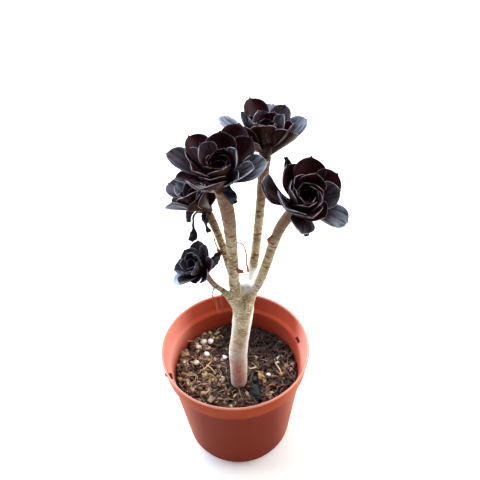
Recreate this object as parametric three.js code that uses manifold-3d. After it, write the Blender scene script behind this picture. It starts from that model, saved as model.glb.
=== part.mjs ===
// A dark burgundy tree aeonium with five rosettes in a terracotta-coloured plastic nursery pot.
// Units are millimetres, +Z is up and the origin is the centre of the pot's underside.

import * as THREE from "three";
import { mergeVertices } from "three/addons/utils/BufferGeometryUtils.js";
import Module from "manifold-3d";

const wasm = await Module();
wasm.setup();

// Driving dimensions
const POT_HEIGHT = 108;
const RIM_RADIUS = 60.5;
const LIP_WIDTH = 1.4;
const BAND_HEIGHT = 17;
const BAND_FOOT_RADIUS = 58.2;
const WALL_TOP_RADIUS = 55.4;
const BASE_RADIUS = 44.2;
const WALL_THICKNESS = 1.4;
const FLOOR_THICKNESS = 2.2;
const FOOT_FLAT_RADIUS = 38.2;
const INNER_FLOOR_RADIUS = 39.8;
const INNER_CORNER = { radius: 43.4, height: 5.8 };
const INNER_TOP = { radius: 53.8, height: 89.6 };
const POT_SEGMENTS = 48;
const DRAIN_COUNT = 6;
const DRAIN_RADIUS = 3.6;
const DRAIN_RING_RADIUS = 27;
const SLOT_ANGLES = [17.5, 197.5];
const SLOT_WIDTH = 4;
const SLOT_HEIGHT = 6.6;
const SLOT_CENTRE_HEIGHT = 96.6;

const GAP = 0.3;
const FACET_SLACK = 0.2;
const SOIL_LEVEL = 76.4;
const SOIL_RINGS = 7;
const SOIL_SEGMENTS = 32;
const SOIL_RELIEF = 1.1;
const SOIL_SHOULDER = 1.6;
const CHIP_COUNT = 16;
const CHIP_SPREAD_RADIUS = 44;
const CHIP_TRUNK_CLEARANCE = 14;
const PERLITE_SINK = 0.24;
const CHIP_SINK = 0.2;

const TRUNK_CENTRE = [1.8, -11.5];
const TRUNK_FOOT_RADIUS = 7;
const TRUNK_FOOT_HEIGHT = 42;
const TRUNK_SIDES = 12;
const BRANCH_SIDES = 8;
const PLANT_LEAN = 1.8;
const PLANT_TURN = -1.5;

const LEAF_THICKNESS = 0.15;
const LEAF_CUP = 0.42;
const LEAF_TILT = 12;
const HEART_HEIGHT = 3;
const OUTER_LEAF = { sides: 6, stations: [0, 0.36, 0.68, 0.92, 1] };
const INNER_LEAF = { sides: 4, stations: [0, 0.4, 0.82, 1] };

// The finish of each material
const FINISHES = {
  pot_plastic: { color: "#a5492f", roughness: 0.5, metalness: 0 },
  potting_mix: { color: "#4a3022", roughness: 0.95, metalness: 0 },
  stem_bark: { color: "#b3a583", roughness: 0.85, metalness: 0 },
  leaf_burgundy: { color: "#33161b", roughness: 0.35, metalness: 0 },
  perlite: { color: "#e9e6dc", roughness: 0.8, metalness: 0 },
  dry_bark: { color: "#b58a62", roughness: 0.9, metalness: 0 },
  dead_leaf: { color: "#221b22", roughness: 0.6, metalness: 0 },
};

const toRadians = THREE.MathUtils.degToRad;

const PLANT_POSE = new THREE.Matrix4()
  .makeTranslation(TRUNK_CENTRE[0], TRUNK_CENTRE[1], SOIL_LEVEL)
  .multiply(new THREE.Matrix4().makeRotationY(toRadians(PLANT_LEAN)))
  .multiply(new THREE.Matrix4().makeRotationZ(toRadians(PLANT_TURN)))
  .multiply(new THREE.Matrix4().makeTranslation(-TRUNK_CENTRE[0], -TRUNK_CENTRE[1], -SOIL_LEVEL));

// Every vertex of a geometry moved by one rule
function reshape(geometry, rule) {
  const position = geometry.attributes.position;
  const point = new THREE.Vector3();
  for (let index = 0; index < position.count; index += 1) {
    point.fromBufferAttribute(position, index);
    const moved = rule(point);
    position.setXYZ(index, moved.x, moved.y, moved.z);
  }
  return geometry;
}

// A closed solid from a geometry's triangles, with its shared vertices merged
function solidOf(geometry) {
  const bare = geometry.clone();
  bare.deleteAttribute("normal");
  bare.deleteAttribute("uv");
  const merged = mergeVertices(bare, 1e-4);
  const corners = merged.index.array;
  const kept = [];
  for (let start = 0; start < corners.length; start += 3) {
    const [a, b, c] = corners.slice(start, start + 3);
    if (a !== b && b !== c && c !== a) {
      kept.push(a, b, c);
    }
  }
  const mesh = new wasm.Mesh({
    numProp: 3,
    vertProperties: Float32Array.from(merged.attributes.position.array),
    triVerts: Uint32Array.from(kept),
  });
  return new wasm.Manifold(mesh);
}

// A closed solid of the plant, which leans and turns as a whole about the trunk's foot
function plantSolidOf(geometry) {
  return solidOf(geometry.clone().applyMatrix4(PLANT_POSE));
}

function joined(solids) {
  return solids.reduce((whole, solid) => whole.add(solid));
}

// The largest body of a solid, so that a cut leaves no loose scrap
function largestBody(solid) {
  const bodies = solid.decompose();
  return bodies.reduce((largest, body) => (body.volume() > largest.volume() ? body : largest));
}

function meshOf(name, solid, finish) {
  const source = solid.getMesh();
  const geometry = new THREE.BufferGeometry();
  geometry.setAttribute("position", new THREE.BufferAttribute(Float32Array.from(source.vertProperties), 3));
  geometry.setIndex(new THREE.BufferAttribute(Uint32Array.from(source.triVerts), 1));
  geometry.computeVertexNormals();
  const mesh = new THREE.Mesh(geometry, new THREE.MeshStandardMaterial(FINISHES[finish]));
  mesh.name = name;
  return mesh;
}

// A closed turned solid from an outline of [radius, height] points
function turned(outline, segments) {
  const points = outline.map(([radius, height]) => new THREE.Vector2(radius, height));
  return new THREE.LatheGeometry(points, segments).rotateX(Math.PI / 2);
}

// A closed shoot swept along hand-placed stations of { at, half }, grown all over by `extra`
function shoot(stations, { sides, steps, flatness = 1, extra = 0 }) {
  const path = new THREE.CatmullRomCurve3(stations.map(({ at }) => new THREE.Vector3(...at)));
  const halves = new THREE.CatmullRomCurve3(
    stations.map(({ half }, index) => new THREE.Vector3(half, index, 0)),
  );
  const away = new THREE.Vector3(0, 1, 0);
  return reshape(new THREE.CylinderGeometry(1, 1, 1, sides, steps), (point) => {
    const along = THREE.MathUtils.clamp(point.y + 0.5, 0, 1);
    const tangent = path.getTangent(along);
    const side = new THREE.Vector3().crossVectors(away, tangent).normalize();
    const depth = new THREE.Vector3().crossVectors(tangent, side);
    const half = halves.getPoint(along).x;
    const overrun = (along === 1 ? extra : 0) - (along === 0 ? extra : 0);
    return path
      .getPoint(along)
      .addScaledVector(side, -point.x * (half + extra))
      .addScaledVector(depth, point.z * (half * flatness + extra))
      .addScaledVector(tangent, overrun);
  });
}

// The pot: a thin tapered shell with a stepped-out upper band, a ledge inside and drain holes

function makePot() {
  const bandFoot = POT_HEIGHT - BAND_HEIGHT;
  const outline = [
    [0, 0],
    [FOOT_FLAT_RADIUS, 0],
    [BASE_RADIUS - 1.2, 2],
    [BASE_RADIUS + 1.2, 7.5],
    [WALL_TOP_RADIUS, bandFoot - 1.2],
    [BAND_FOOT_RADIUS, bandFoot],
    [RIM_RADIUS - 0.5, POT_HEIGHT - 2.4],
    [RIM_RADIUS, POT_HEIGHT - 1.6],
    [RIM_RADIUS - 0.4, POT_HEIGHT],
    [RIM_RADIUS - LIP_WIDTH + 0.2, POT_HEIGHT],
    [RIM_RADIUS - LIP_WIDTH - 0.4, POT_HEIGHT - 1],
    [BAND_FOOT_RADIUS - WALL_THICKNESS, bandFoot + 2.2],
    [WALL_TOP_RADIUS - WALL_THICKNESS, bandFoot + 0.6],
    [INNER_TOP.radius, INNER_TOP.height],
    [INNER_CORNER.radius, INNER_CORNER.height],
    [INNER_FLOOR_RADIUS, FLOOR_THICKNESS],
    [0, FLOOR_THICKNESS],
  ];
  let pot = solidOf(turned(outline, POT_SEGMENTS));
  for (let index = 0; index < DRAIN_COUNT; index += 1) {
    const angle = (index / DRAIN_COUNT) * 2 * Math.PI;
    const drain = new THREE.CylinderGeometry(DRAIN_RADIUS, DRAIN_RADIUS, 3 * FLOOR_THICKNESS, 12);
    drain.rotateX(Math.PI / 2);
    drain.translate(DRAIN_RING_RADIUS * Math.cos(angle), DRAIN_RING_RADIUS * Math.sin(angle), 0);
    pot = pot.subtract(solidOf(drain));
  }
  for (const angle of SLOT_ANGLES) {
    const slot = new THREE.BoxGeometry(12, SLOT_WIDTH, SLOT_HEIGHT);
    slot.translate(BAND_FOOT_RADIUS, 0, SLOT_CENTRE_HEIGHT);
    slot.rotateZ(toRadians(angle));
    pot = pot.subtract(solidOf(slot));
  }
  return pot;
}

// The potting mix: a plug that fills the pot, with a lumpy top and bark chips grown into it

// The mix stays clear of the wall, whose flat facets stand a little inside its true round
function soilRadiusAt(height) {
  const share = (height - INNER_CORNER.height) / (INNER_TOP.height - INNER_CORNER.height);
  return THREE.MathUtils.lerp(INNER_CORNER.radius, INNER_TOP.radius, share) - GAP - FACET_SLACK;
}

function soilHeight(x, y) {
  const broad = Math.sin(0.11 * x + 0.9) * Math.cos(0.13 * y - 0.4);
  const fine = Math.sin(0.31 * x - 0.17 * y) * Math.cos(0.27 * y + 0.12 * x + 1.3);
  const distance = Math.hypot(x - TRUNK_CENTRE[0], y - TRUNK_CENTRE[1]);
  const calmNearTrunk = THREE.MathUtils.smoothstep(distance, 8, 18);
  return SOIL_LEVEL + SOIL_RELIEF * (broad + fine) * calmNearTrunk;
}

// A repeatable draw between 0 and 1
function makeDraw(seed) {
  let state = seed;
  return () => {
    state = (state * 16807) % 2147483647;
    return state / 2147483647;
  };
}

function makeSoil() {
  const shoulder = SOIL_LEVEL - SOIL_SHOULDER;
  const outline = [
    [0, FLOOR_THICKNESS + GAP],
    [INNER_FLOOR_RADIUS - 2 * GAP, FLOOR_THICKNESS + GAP],
    [soilRadiusAt(INNER_CORNER.height + GAP), INNER_CORNER.height + GAP],
    [soilRadiusAt(shoulder), shoulder],
  ];
  const rim = soilRadiusAt(shoulder) - SOIL_SHOULDER / 2;
  for (let ring = 0; ring < SOIL_RINGS; ring += 1) {
    outline.push([rim * (1 - ring / SOIL_RINGS), SOIL_LEVEL]);
  }
  outline.push([0, SOIL_LEVEL]);
  const plug = reshape(turned(outline, SOIL_SEGMENTS), (point) => {
    const height = point.z > SOIL_LEVEL - 0.1 ? soilHeight(point.x, point.y) : point.z;
    return new THREE.Vector3(point.x, point.y, height);
  });
  const holeRadius = TRUNK_FOOT_RADIUS + GAP;
  const hole = new THREE.CylinderGeometry(holeRadius, holeRadius, SOIL_LEVEL, 28);
  hole.rotateX(Math.PI / 2);
  hole.translate(TRUNK_CENTRE[0], TRUNK_CENTRE[1], TRUNK_FOOT_HEIGHT - GAP + SOIL_LEVEL / 2);
  return solidOf(plug).add(joined(makeChips())).subtract(plantSolidOf(hole));
}

// Bark chips lying at odd angles, each sunk halfway into the mix
function makeChips() {
  const draw = makeDraw(4711);
  const chips = [];
  while (chips.length < CHIP_COUNT) {
    const radius = CHIP_SPREAD_RADIUS * Math.sqrt(draw());
    const angle = 2 * Math.PI * draw();
    const chip = new THREE.BoxGeometry(4 + 5 * draw(), 2 + 2 * draw(), 1.6 + draw());
    chip.rotateX(0.7 * (draw() - 0.5));
    chip.rotateY(0.7 * (draw() - 0.5));
    chip.rotateZ(2 * Math.PI * draw());
    const x = radius * Math.cos(angle);
    const y = radius * Math.sin(angle);
    if (Math.hypot(x - TRUNK_CENTRE[0], y - TRUNK_CENTRE[1]) > CHIP_TRUNK_CLEARANCE) {
      chips.push(solidOf(chip.translate(x, y, soilHeight(x, y) + CHIP_SINK)));
    }
  }
  return chips;
}

// Loose pieces that lie on the mix, each in a dimple that follows its own shape

const LOOSE_PIECES = [
  { name: "perlite_01", kind: "grain", at: [-28.4, 31], size: [6, 5, 3.8], turn: 20 },
  { name: "perlite_02", kind: "grain", at: [-22.2, 29.6], size: [5.6, 4.6, 3.6], turn: 80 },
  { name: "perlite_03", kind: "grain", at: [-25.7, 17.2], size: [5.4, 4.8, 3.6], turn: 130 },
  { name: "perlite_04", kind: "grain", at: [-33, 24.6], size: [4.6, 4, 3], turn: 10 },
  { name: "perlite_05", kind: "grain", at: [-10.6, 13.2], size: [5.4, 4.2, 3.2], turn: 5 },
  { name: "perlite_06", kind: "grain", at: [-34.1, 7.9], size: [5, 4, 3], turn: 50 },
  { name: "perlite_07", kind: "grain", at: [-44.4, 9], size: [2.8, 2.6, 2.2], turn: 0 },
  { name: "perlite_08", kind: "grain", at: [26.8, -7.6], size: [4, 3.4, 2.8], turn: 0 },
  { name: "perlite_09", kind: "grain", at: [35.6, 6], size: [2.8, 2.4, 2.2], turn: 0 },
  { name: "pale_chip_01", kind: "chip", at: [20.7, -9], size: [13, 5, 1.6], turn: 116 },
  { name: "pale_chip_02", kind: "chip", at: [-11.6, -11], size: [7, 3.2, 1.3], turn: 80 },
  { name: "pale_chip_03", kind: "chip", at: [-22.1, -9.4], size: [9, 3, 1.3], turn: 150 },
  { name: "pale_chip_04", kind: "chip", at: [-36.5, 29.4], size: [8, 2.6, 1.3], turn: 175 },
  { name: "fallen_leaf", kind: "dead", at: [15.5, -24.4], size: [16, 12, 4], turn: 95 },
];

function makeLoosePiece({ kind, at, size, turn }, grown) {
  const [length, width, height] = size.map((side) => side + 2 * grown);
  const geometry =
    kind === "grain"
      ? new THREE.DodecahedronGeometry(0.5 * 1.08)
      : new THREE.CylinderGeometry(0.42, 0.5, 1, 8).rotateX(Math.PI / 2);
  geometry.scale(length, width, height);
  geometry.rotateZ(toRadians(turn));
  const sink = kind === "grain" ? PERLITE_SINK : CHIP_SINK;
  const [x, y] = at;
  return solidOf(geometry.translate(x, y, soilHeight(x, y) + size[2] * sink + CHIP_SINK));
}

// The stem: one short trunk that forks into five branches, fused as one woody body

function station(x, y, z, half) {
  return { at: [x, y, z], half };
}

const TRUNK = [
  station(TRUNK_CENTRE[0], TRUNK_CENTRE[1], TRUNK_FOOT_HEIGHT, TRUNK_FOOT_RADIUS - 0.1),
  station(TRUNK_CENTRE[0], TRUNK_CENTRE[1], 80, TRUNK_FOOT_RADIUS - 0.2),
  station(1.5, -12.6, 98, 7.1),
  station(1.2, -15, 118, 7.3),
  station(3, -17.4, 142.9, 7),
  station(4.8, -18.3, 166, 7.5),
  station(4.8, -18, 179, 7.8),
  station(5.2, -17.6, 187, 3),
];

const BRANCHES = {
  front: [
    station(2.2, -18.5, 172, 5.2),
    station(-1.3, -20.5, 199, 4),
    station(-2, -23, 220.9, 3.7),
    station(-3, -26, 242.5, 3.9),
    station(-4.6, -29, 265, 4.4),
    station(-8, -31.6, 287.4, 4.7),
  ],
  top: [
    station(6, -15, 172, 5.2),
    station(10, -10, 193, 3.7),
    station(13.4, -4, 213, 3.2),
    station(15.8, 1, 241.7, 3.2),
    station(16.9, 4, 260.2, 3.4),
    station(18.8, 6.6, 284.8, 3.9),
  ],
  right: [
    station(6.2, -18, 172, 5.4),
    station(11.8, -18, 189, 3.9),
    station(16.5, -18, 199.5, 3.5),
    station(20.9, -17.3, 215.4, 3.4),
    station(25.2, -17, 234.1, 3.5),
    station(30.2, -16.5, 248.4, 3.8),
    station(36.6, -16.4, 258.9, 4),
  ],
  left: [
    station(-0.4, -19, 190, 3.2),
    station(-3.6, -15, 205, 2.9),
    station(-9.6, -8, 222.9, 2.6),
    station(-14.6, -4, 237.1, 2.8),
    station(-18.1, -1.8, 245.2, 3),
  ],
  saddle: [
    station(0, -18.6, 180, 4),
    station(4, -17.4, 190, 4.2),
    station(9, -15.4, 191, 4),
    station(13, -15, 189, 3),
  ],
  low: [
    station(0.6, -18, 172, 3.4),
    station(-8, -20.6, 190, 2.2),
    station(-15.2, -22, 199, 2),
    station(-20.5, -23.6, 210.4, 2.2),
  ],
};

const ROOTLETS = [
  [
    station(-14.8, -21.8, 197, 0.8),
    station(-17, -24, 190, 0.7),
    station(-14.6, -24.6, 182, 0.7),
    station(-14, -25, 174, 0.5),
  ],
  [
    station(-10, -20.4, 189, 0.8),
    station(-10.6, -22.8, 183, 0.6),
    station(-10.2, -23.2, 178, 0.5),
  ],
];

function makeBranch(stations, extra = 0) {
  const steps = stations.length * 2;
  return plantSolidOf(shoot(stations, { sides: BRANCH_SIDES, steps, extra }));
}

function makeStem(extra = 0) {
  const trunk = plantSolidOf(shoot(TRUNK, { sides: TRUNK_SIDES, steps: 16, extra }));
  const branches = Object.values(BRANCHES).map((stations) => makeBranch(stations, extra));
  const rootlets = ROOTLETS.map((stations) => plantSolidOf(shoot(stations, { sides: 5, steps: 6, extra })));
  return joined([trunk, ...branches, ...rootlets]);
}

// A rosette's leaves, each given as
// [azimuth, opening from the axis, length, width, curl, twist, height of its foot] and, for a
// leaf that is not rolled by LEAF_TILT at its foot, that roll as an eighth number

const ROSETTES = {
  rosette_front: {
    foot: [-9.1, -32, 291.4],
    axis: [-0.05, -0.26, 0.96],
    spread: 3,
    core: 5,
    leaves: [
      [130, 54, 30, 18, 10, 0, 1],
      [158, 66, 33.5, 18, 20, 0, 0],
      [66, 55, 33.5, 17, 8, 0, 1],
      [41, 53, 29, 16, 15, 0, 1.5],
      [2, 59, 30, 16, 20, 0, 0],
      [242, 40, 26, 24, 8, -10, -4, 25],
      [348, 50, 24, 13, 10, -20, 1],
      [150, 50, 25, 13, 15, 0, 1],
      [85, 38, 26, 18, 15, 0, 3],
      [318, 40, 20, 12, 10, 0, 0],
      [255, 32, 21, 15, 15, 0, 1],
      [134, 29, 22, 16, 25, 0, 4],
      [208, 35, 22, 17, 25, 0, 2],
      [285, 22, 20, 15, 35, 0, 4],
      [12, 20, 24, 13, 50, 0, 4],
      [62, 18, 18, 14, 30, 0, 4],
      [176, 84, 24, 12, -10, 0, 0],
    ],
    rings: [
      { count: 5, start: 100, leaf: [14, 15, 12, 30, 0, 5] },
      { count: 3, start: 60, leaf: [6, 10, 8, 20, 0, 6] },
    ],
    withered: [
      [station(-6.4, -34, 290, 3.4), station(-2.8, -36.8, 285.4, 4), station(0.2, -37.6, 279.4, 3.2)],
    ],
  },
  rosette_top: {
    foot: [18.8, 7, 288.8],
    axis: [0, 0.03, 1],
    spread: 3,
    core: 4.4,
    leaves: [
      [166, 58, 35, 20, 15, 0, 0],
      [116, 40, 32, 19, 10, 0, 2],
      [79, 57, 33, 19, 10, 0, 0],
      [58, 45, 30, 14, 10, 0, 1],
      [16, 53, 31, 16, 20, 0, 0],
      [322, 28, 25, 17, 5, 0, 0, -47],
      [225, 55, 26, 16, 15, 0, 0],
      [140, 44, 26, 16, 20, 0, 2],
      [262, 17, 20, 17, 20, 0, 3],
      [200, 38, 25, 16, 20, 0, 2],
      [345, 36, 24, 15, 25, 0, 2],
      [120, 20, 21, 16, 25, 0, 4],
      [60, 24, 20, 18, 25, 0, 4],
      [14, 22, 22, 13, 40, 0, 4],
      [320, 16, 19, 16, 35, 0, 4],
      [225, 16, 19, 16, 35, 0, 4],
      [170, 24, 21, 15, 30, 0, 4],
    ],
    rings: [
      { count: 4, start: 100, leaf: [11, 15, 12, 30, 0, 5] },
      { count: 3, start: 60, leaf: [5, 11, 8, 20, 0, 6] },
    ],
    withered: [],
  },
  rosette_right: {
    foot: [38.8, -17, 262.5],
    axis: [0.203, -0.475, 0.856],
    spread: 3,
    core: 4.7,
    leaves: [
      [166, 55, 34, 19, 95, 0, 0],
      [339, 76, 31.5, 15, -45, 0, 0],
      [268, 66, 21, 17, 5, -35, 0],
      [123, 46, 27, 21, 15, 0, 1],
      [82, 49, 30.5, 22, 10, 0, 1],
      [38, 56, 30, 19, 10, 0, 1],
      [10, 45, 27, 17, 15, 0, 2],
      [275, 33, 26, 20, 10, 0, 1],
      [218, 38, 24, 23, 15, 0, 1],
      [312, 42, 23, 17, 10, 0, 1],
      [178, 24, 22, 16, 30, 0, 4],
      [66, 27, 23, 18, 30, 0, 4],
      [10, 20, 20, 15, 30, 0, 4],
      [330, 22, 20, 15, 30, 0, 4],
      [270, 20, 19, 16, 30, 0, 4],
      [135, 24, 22, 16, 30, 0, 4],
    ],
    rings: [
      { count: 4, start: 110, leaf: [13, 17, 13, 30, 0, 5] },
      { count: 3, start: 60, leaf: [6, 12, 9, 20, 0, 6] },
    ],
    withered: [
      [station(40.6, -20, 260, 3), station(44, -25, 254, 3.6), station(44.6, -27, 246.5, 1.6)],
      [station(38.6, -12, 266, 3), station(34.6, -2, 278, 3.4), station(31.2, 1, 287.6, 1.4)],
    ],
  },
  rosette_left: {
    foot: [-19.7, -1, 249],
    axis: [-0.5, -0.15, 0.85],
    spread: 2.5,
    core: 3.8,
    leaves: [
      [165, 75, 30, 14, 0, 25, 0],
      [136, 61, 33, 17, 10, 0, 0],
      [132, 48, 25, 14, 15, 0, 1],
      [258, 14, 23, 19, 20, 0, 1],
      [330, 30, 24, 16, 10, 0, 0],
      [95, 45, 25, 15, 10, 0, 0],
      [50, 50, 24, 15, 10, 0, 0],
      [10, 50, 22, 15, 10, 0, 0],
      [205, 30, 24, 15, 15, 0, 1],
      [292, 26, 22, 16, 10, 0, 0],
    ],
    rings: [
      { count: 5, start: 190, leaf: [18, 19, 13, 30, 0, 3] },
      { count: 3, start: 140, leaf: [7, 13, 9, 20, 0, 5] },
    ],
    withered: [
      [
        station(-20.6, -4, 250, 2.4),
        station(-26, -7, 254, 2.4),
        station(-30.2, -8, 251, 2.6),
        station(-31.2, -8.4, 243.5, 1.6),
      ],
      [
        station(-20, -4, 249, 2),
        station(-26.8, -8, 249.6, 0.8),
        station(-28.4, -8.4, 240, 0.8),
        station(-28.4, -8.6, 232.4, 2.6),
        station(-30.6, -8.6, 227, 2),
      ],
      [
        station(-18.6, -4, 248, 2),
        station(-20.4, -7.6, 246, 2.6),
        station(-19.6, -8, 240, 1),
        station(-18, -8, 234, 1.8),
      ],
    ],
  },
  rosette_low: {
    foot: [-22, -24, 213.2],
    axis: [-0.56, -0.305, 0.77],
    spread: 2,
    core: 3.2,
    leaves: [
      [201, 69, 21, 13, 0, 0, 0],
      [168, 50, 18.5, 14, 10, 0, 0],
      [72, 48, 21, 13, 10, 0, 0],
      [50, 50, 19, 9, 10, 0, 0],
      [115, 38, 18, 13, 12, 0, 1],
      [262, 56, 11, 10, 5, 0, 0],
      [310, 58, 15, 11, 5, 0, 0],
      [0, 55, 16, 11, 10, 0, 0],
      [232, 44, 19, 13, 10, 0, 0],
      [190, 34, 19, 13, 10, 0, 1],
    ],
    rings: [
      { count: 5, start: 100, leaf: [22, 15, 10, 30, 0, 3] },
      { count: 3, start: 136, leaf: [8, 11, 8, 25, 0, 4] },
    ],
    withered: [
      [
        station(-21.4, -23.6, 214, 1.6),
        station(-16.4, -24.6, 219, 3),
        station(-12, -25, 228, 2.6),
        station(-9.4, -24.6, 231, 1),
      ],
    ],
  },
};

// Half of a leaf's width at a share of its length, as a share of the whole half width
function leafOutline(share) {
  const rise = THREE.MathUtils.smoothstep(share, 0, 0.7);
  const body = 0.3 + 0.7 * rise;
  const tip = Math.max(0, (share - 0.7) / 0.3);
  return body * Math.sqrt(1 - 0.985 * tip * tip);
}

// One spoon-shaped leaf: its midrib is an arc that leaves the axis at the opening angle
function makeLeaf({ foot, axis, spread }, leaf, { sides, stations }) {
  const [azimuth, opening, length, width, curl, twist, rise, tilt = LEAF_TILT] = leaf;
  const up = new THREE.Vector3(...axis).normalize();
  const across = new THREE.Vector3(1, 0, 0).addScaledVector(up, -up.x).normalize();
  const behind = new THREE.Vector3().crossVectors(up, across);
  const turn = toRadians(azimuth);
  const outward = across.clone().multiplyScalar(Math.cos(turn)).addScaledVector(behind, Math.sin(turn));
  const sideways = new THREE.Vector3().crossVectors(up, outward);
  const lean = toRadians(opening);
  const bend = toRadians(Math.abs(curl) < 0.5 ? 0.5 : curl);
  const start = lean + bend / 2;
  const steps = stations.length - 1;
  return reshape(new THREE.CylinderGeometry(1, 1, 1, sides, steps), (point) => {
    const share = stations[Math.round((point.y + 0.5) * steps)];
    const slope = lean + bend * (0.5 - share);
    const reach = (length * (Math.cos(slope) - Math.cos(start))) / bend;
    const climb = (length * (Math.sin(start) - Math.sin(slope))) / bend;
    const face = up.clone().multiplyScalar(Math.sin(slope)).addScaledVector(outward, -Math.cos(slope));
    const roll = toRadians(tilt + twist * share);
    const blade = sideways.clone().multiplyScalar(Math.cos(roll)).addScaledVector(face, Math.sin(roll));
    const normal = face.multiplyScalar(Math.cos(roll)).addScaledVector(sideways, -Math.sin(roll));
    const halfWidth = (width / 2) * leafOutline(share);
    const halfThickness = (width / 2) * LEAF_THICKNESS * (1 - 0.45 * share);
    const lift = LEAF_CUP * halfWidth * point.z * point.z + halfThickness * point.x;
    return new THREE.Vector3(...foot)
      .addScaledVector(up, rise + climb)
      .addScaledVector(outward, spread + reach)
      .addScaledVector(blade, halfWidth * point.z)
      .addScaledVector(normal, lift);
  });
}

// The short fat stalk tip that a rosette's leaves grow from
function makeCore({ foot, axis, core }) {
  const up = new THREE.Vector3(...axis).normalize();
  const outline = [
    [0, -core],
    [core * 0.75, -core],
    [core * 1.35, core * 0.9],
    [core * 1.3, core * 1.6],
    [core * 0.7, core * 2.2],
    [0, core * 2.4],
  ];
  const tip = turned(outline, 12);
  tip.applyQuaternion(new THREE.Quaternion().setFromUnitVectors(new THREE.Vector3(0, 0, 1), up));
  return plantSolidOf(tip.translate(...foot));
}

function makeRosette(rosette, keepOut) {
  const parts = [makeCore(rosette)];
  for (const leaf of rosette.leaves) {
    const inHeart = leaf[6] >= HEART_HEIGHT;
    parts.push(plantSolidOf(makeLeaf(rosette, leaf, inHeart ? INNER_LEAF : OUTER_LEAF)));
  }
  for (const { count, start, leaf } of rosette.rings) {
    for (let index = 0; index < count; index += 1) {
      const azimuth = start + (360 / count) * index;
      parts.push(plantSolidOf(makeLeaf(rosette, [azimuth, ...leaf], INNER_LEAF)));
    }
  }
  for (const stations of rosette.withered) {
    parts.push(plantSolidOf(shoot(stations, { sides: 4, steps: 6, flatness: 0.35 })));
  }
  return largestBody(joined(parts).subtract(keepOut));
}

// The whole plant in its pot

const plant = new THREE.Group();
plant.name = "potted_aeonium";
plant.add(meshOf("pot", makePot(), "pot_plastic"));

const hollows = LOOSE_PIECES.map((piece) => makeLoosePiece(piece, GAP));
plant.add(meshOf("soil", largestBody(makeSoil().subtract(joined(hollows))), "potting_mix"));

const looseFinishes = { grain: "perlite", chip: "dry_bark", dead: "dead_leaf" };
for (const piece of LOOSE_PIECES) {
  plant.add(meshOf(piece.name, makeLoosePiece(piece, 0), looseFinishes[piece.kind]));
}

plant.add(meshOf("stem", largestBody(makeStem()), "stem_bark"));

const stemClearance = makeStem(GAP);
for (const [name, rosette] of Object.entries(ROSETTES)) {
  plant.add(meshOf(name, makeRosette(rosette, stemClearance), "leaf_burgundy"));
}

export default plant;
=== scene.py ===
"""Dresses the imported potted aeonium: fine leaves, bark, potting mix and moulded pot around its CAD part.

Lengths are millimetres in the tables and metres in the meshes. The origin is the centre of the pot's
underside and +Z is up, as in the CAD part.
"""

import logging
import math
import random
from dataclasses import dataclass, replace
from enum import Enum
from functools import reduce
from typing import Any, Callable, Iterable, Sequence

import bmesh
import bpy
from mathutils import Matrix, Vector, kdtree, noise


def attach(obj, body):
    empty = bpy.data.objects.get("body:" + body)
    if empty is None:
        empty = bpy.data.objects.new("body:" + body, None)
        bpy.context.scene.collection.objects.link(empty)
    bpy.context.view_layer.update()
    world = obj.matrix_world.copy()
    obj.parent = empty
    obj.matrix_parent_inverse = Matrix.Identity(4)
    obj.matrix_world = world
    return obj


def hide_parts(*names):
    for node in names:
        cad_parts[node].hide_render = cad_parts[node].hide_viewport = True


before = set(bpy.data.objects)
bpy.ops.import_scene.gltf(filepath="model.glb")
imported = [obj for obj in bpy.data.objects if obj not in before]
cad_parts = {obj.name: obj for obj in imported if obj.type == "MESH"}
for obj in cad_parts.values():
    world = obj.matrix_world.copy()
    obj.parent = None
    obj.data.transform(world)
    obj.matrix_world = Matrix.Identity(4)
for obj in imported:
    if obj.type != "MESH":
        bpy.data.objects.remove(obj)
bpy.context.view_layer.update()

log = logging.getLogger("potted_aeonium")

MM = 0.001
BODY = "root"

# The plant leans and turns as a whole about the trunk's foot, as in the CAD part
TRUNK_CENTRE = (1.8, -11.5)
SOIL_LEVEL = 76.4
PLANT_LEAN = 1.8
PLANT_TURN = -1.5
TRUNK_FOOT = Vector((*TRUNK_CENTRE, SOIL_LEVEL))
PLANT_POSE = (
    Matrix.Translation(TRUNK_FOOT)
    @ Matrix.Rotation(math.radians(PLANT_LEAN), 4, "Y")
    @ Matrix.Rotation(math.radians(PLANT_TURN), 4, "Z")
    @ Matrix.Translation(-TRUNK_FOOT)
)
UPRIGHT = Matrix.Identity(4)
# Without a seed, Blender's noise vectors change from run to run
NOISE_SEED = 4

Socket = bpy.types.NodeSocket
Mesh = bmesh.types.BMesh


class Lamp(Enum):
    """The soft square lamps: place and side in metres, power in watts, sRGB colour."""

    WINDOW = ((-0.45, 1.0, 0.8), 1.0, 22.0, "#dcecff")
    LEFT = ((-0.9, 0.3, 0.6), 0.8, 12.0, "#eef4ff")
    OVERHEAD = ((0.1, 0.4, 1.15), 1.2, 12.0, "#ffffff")
    RIGHT = ((0.95, 0.15, 0.6), 0.9, 11.0, "#fff6ee")


# Numbers, colours and nodes


def smoothstep(value: float, low: float, high: float) -> float:
    """Eases from 0 at low to 1 at high."""
    share = min(1.0, max(0.0, (value - low) / (high - low)))
    return share * share * (3 - 2 * share)


def srgb(code: str) -> tuple[float, float, float, float]:
    """Turns an sRGB hex colour into the linear colour that a shader takes.

    Args:
        code: a colour such as "#a5492f".

    Returns:
        Red, green, blue and an alpha of 1.
    """
    channels = [int(code[start : start + 2], 16) / 255 for start in (1, 3, 5)]
    linear = [c / 12.92 if c <= 0.04045 else ((c + 0.055) / 1.055) ** 2.4 for c in channels]
    return (linear[0], linear[1], linear[2], 1.0)


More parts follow.
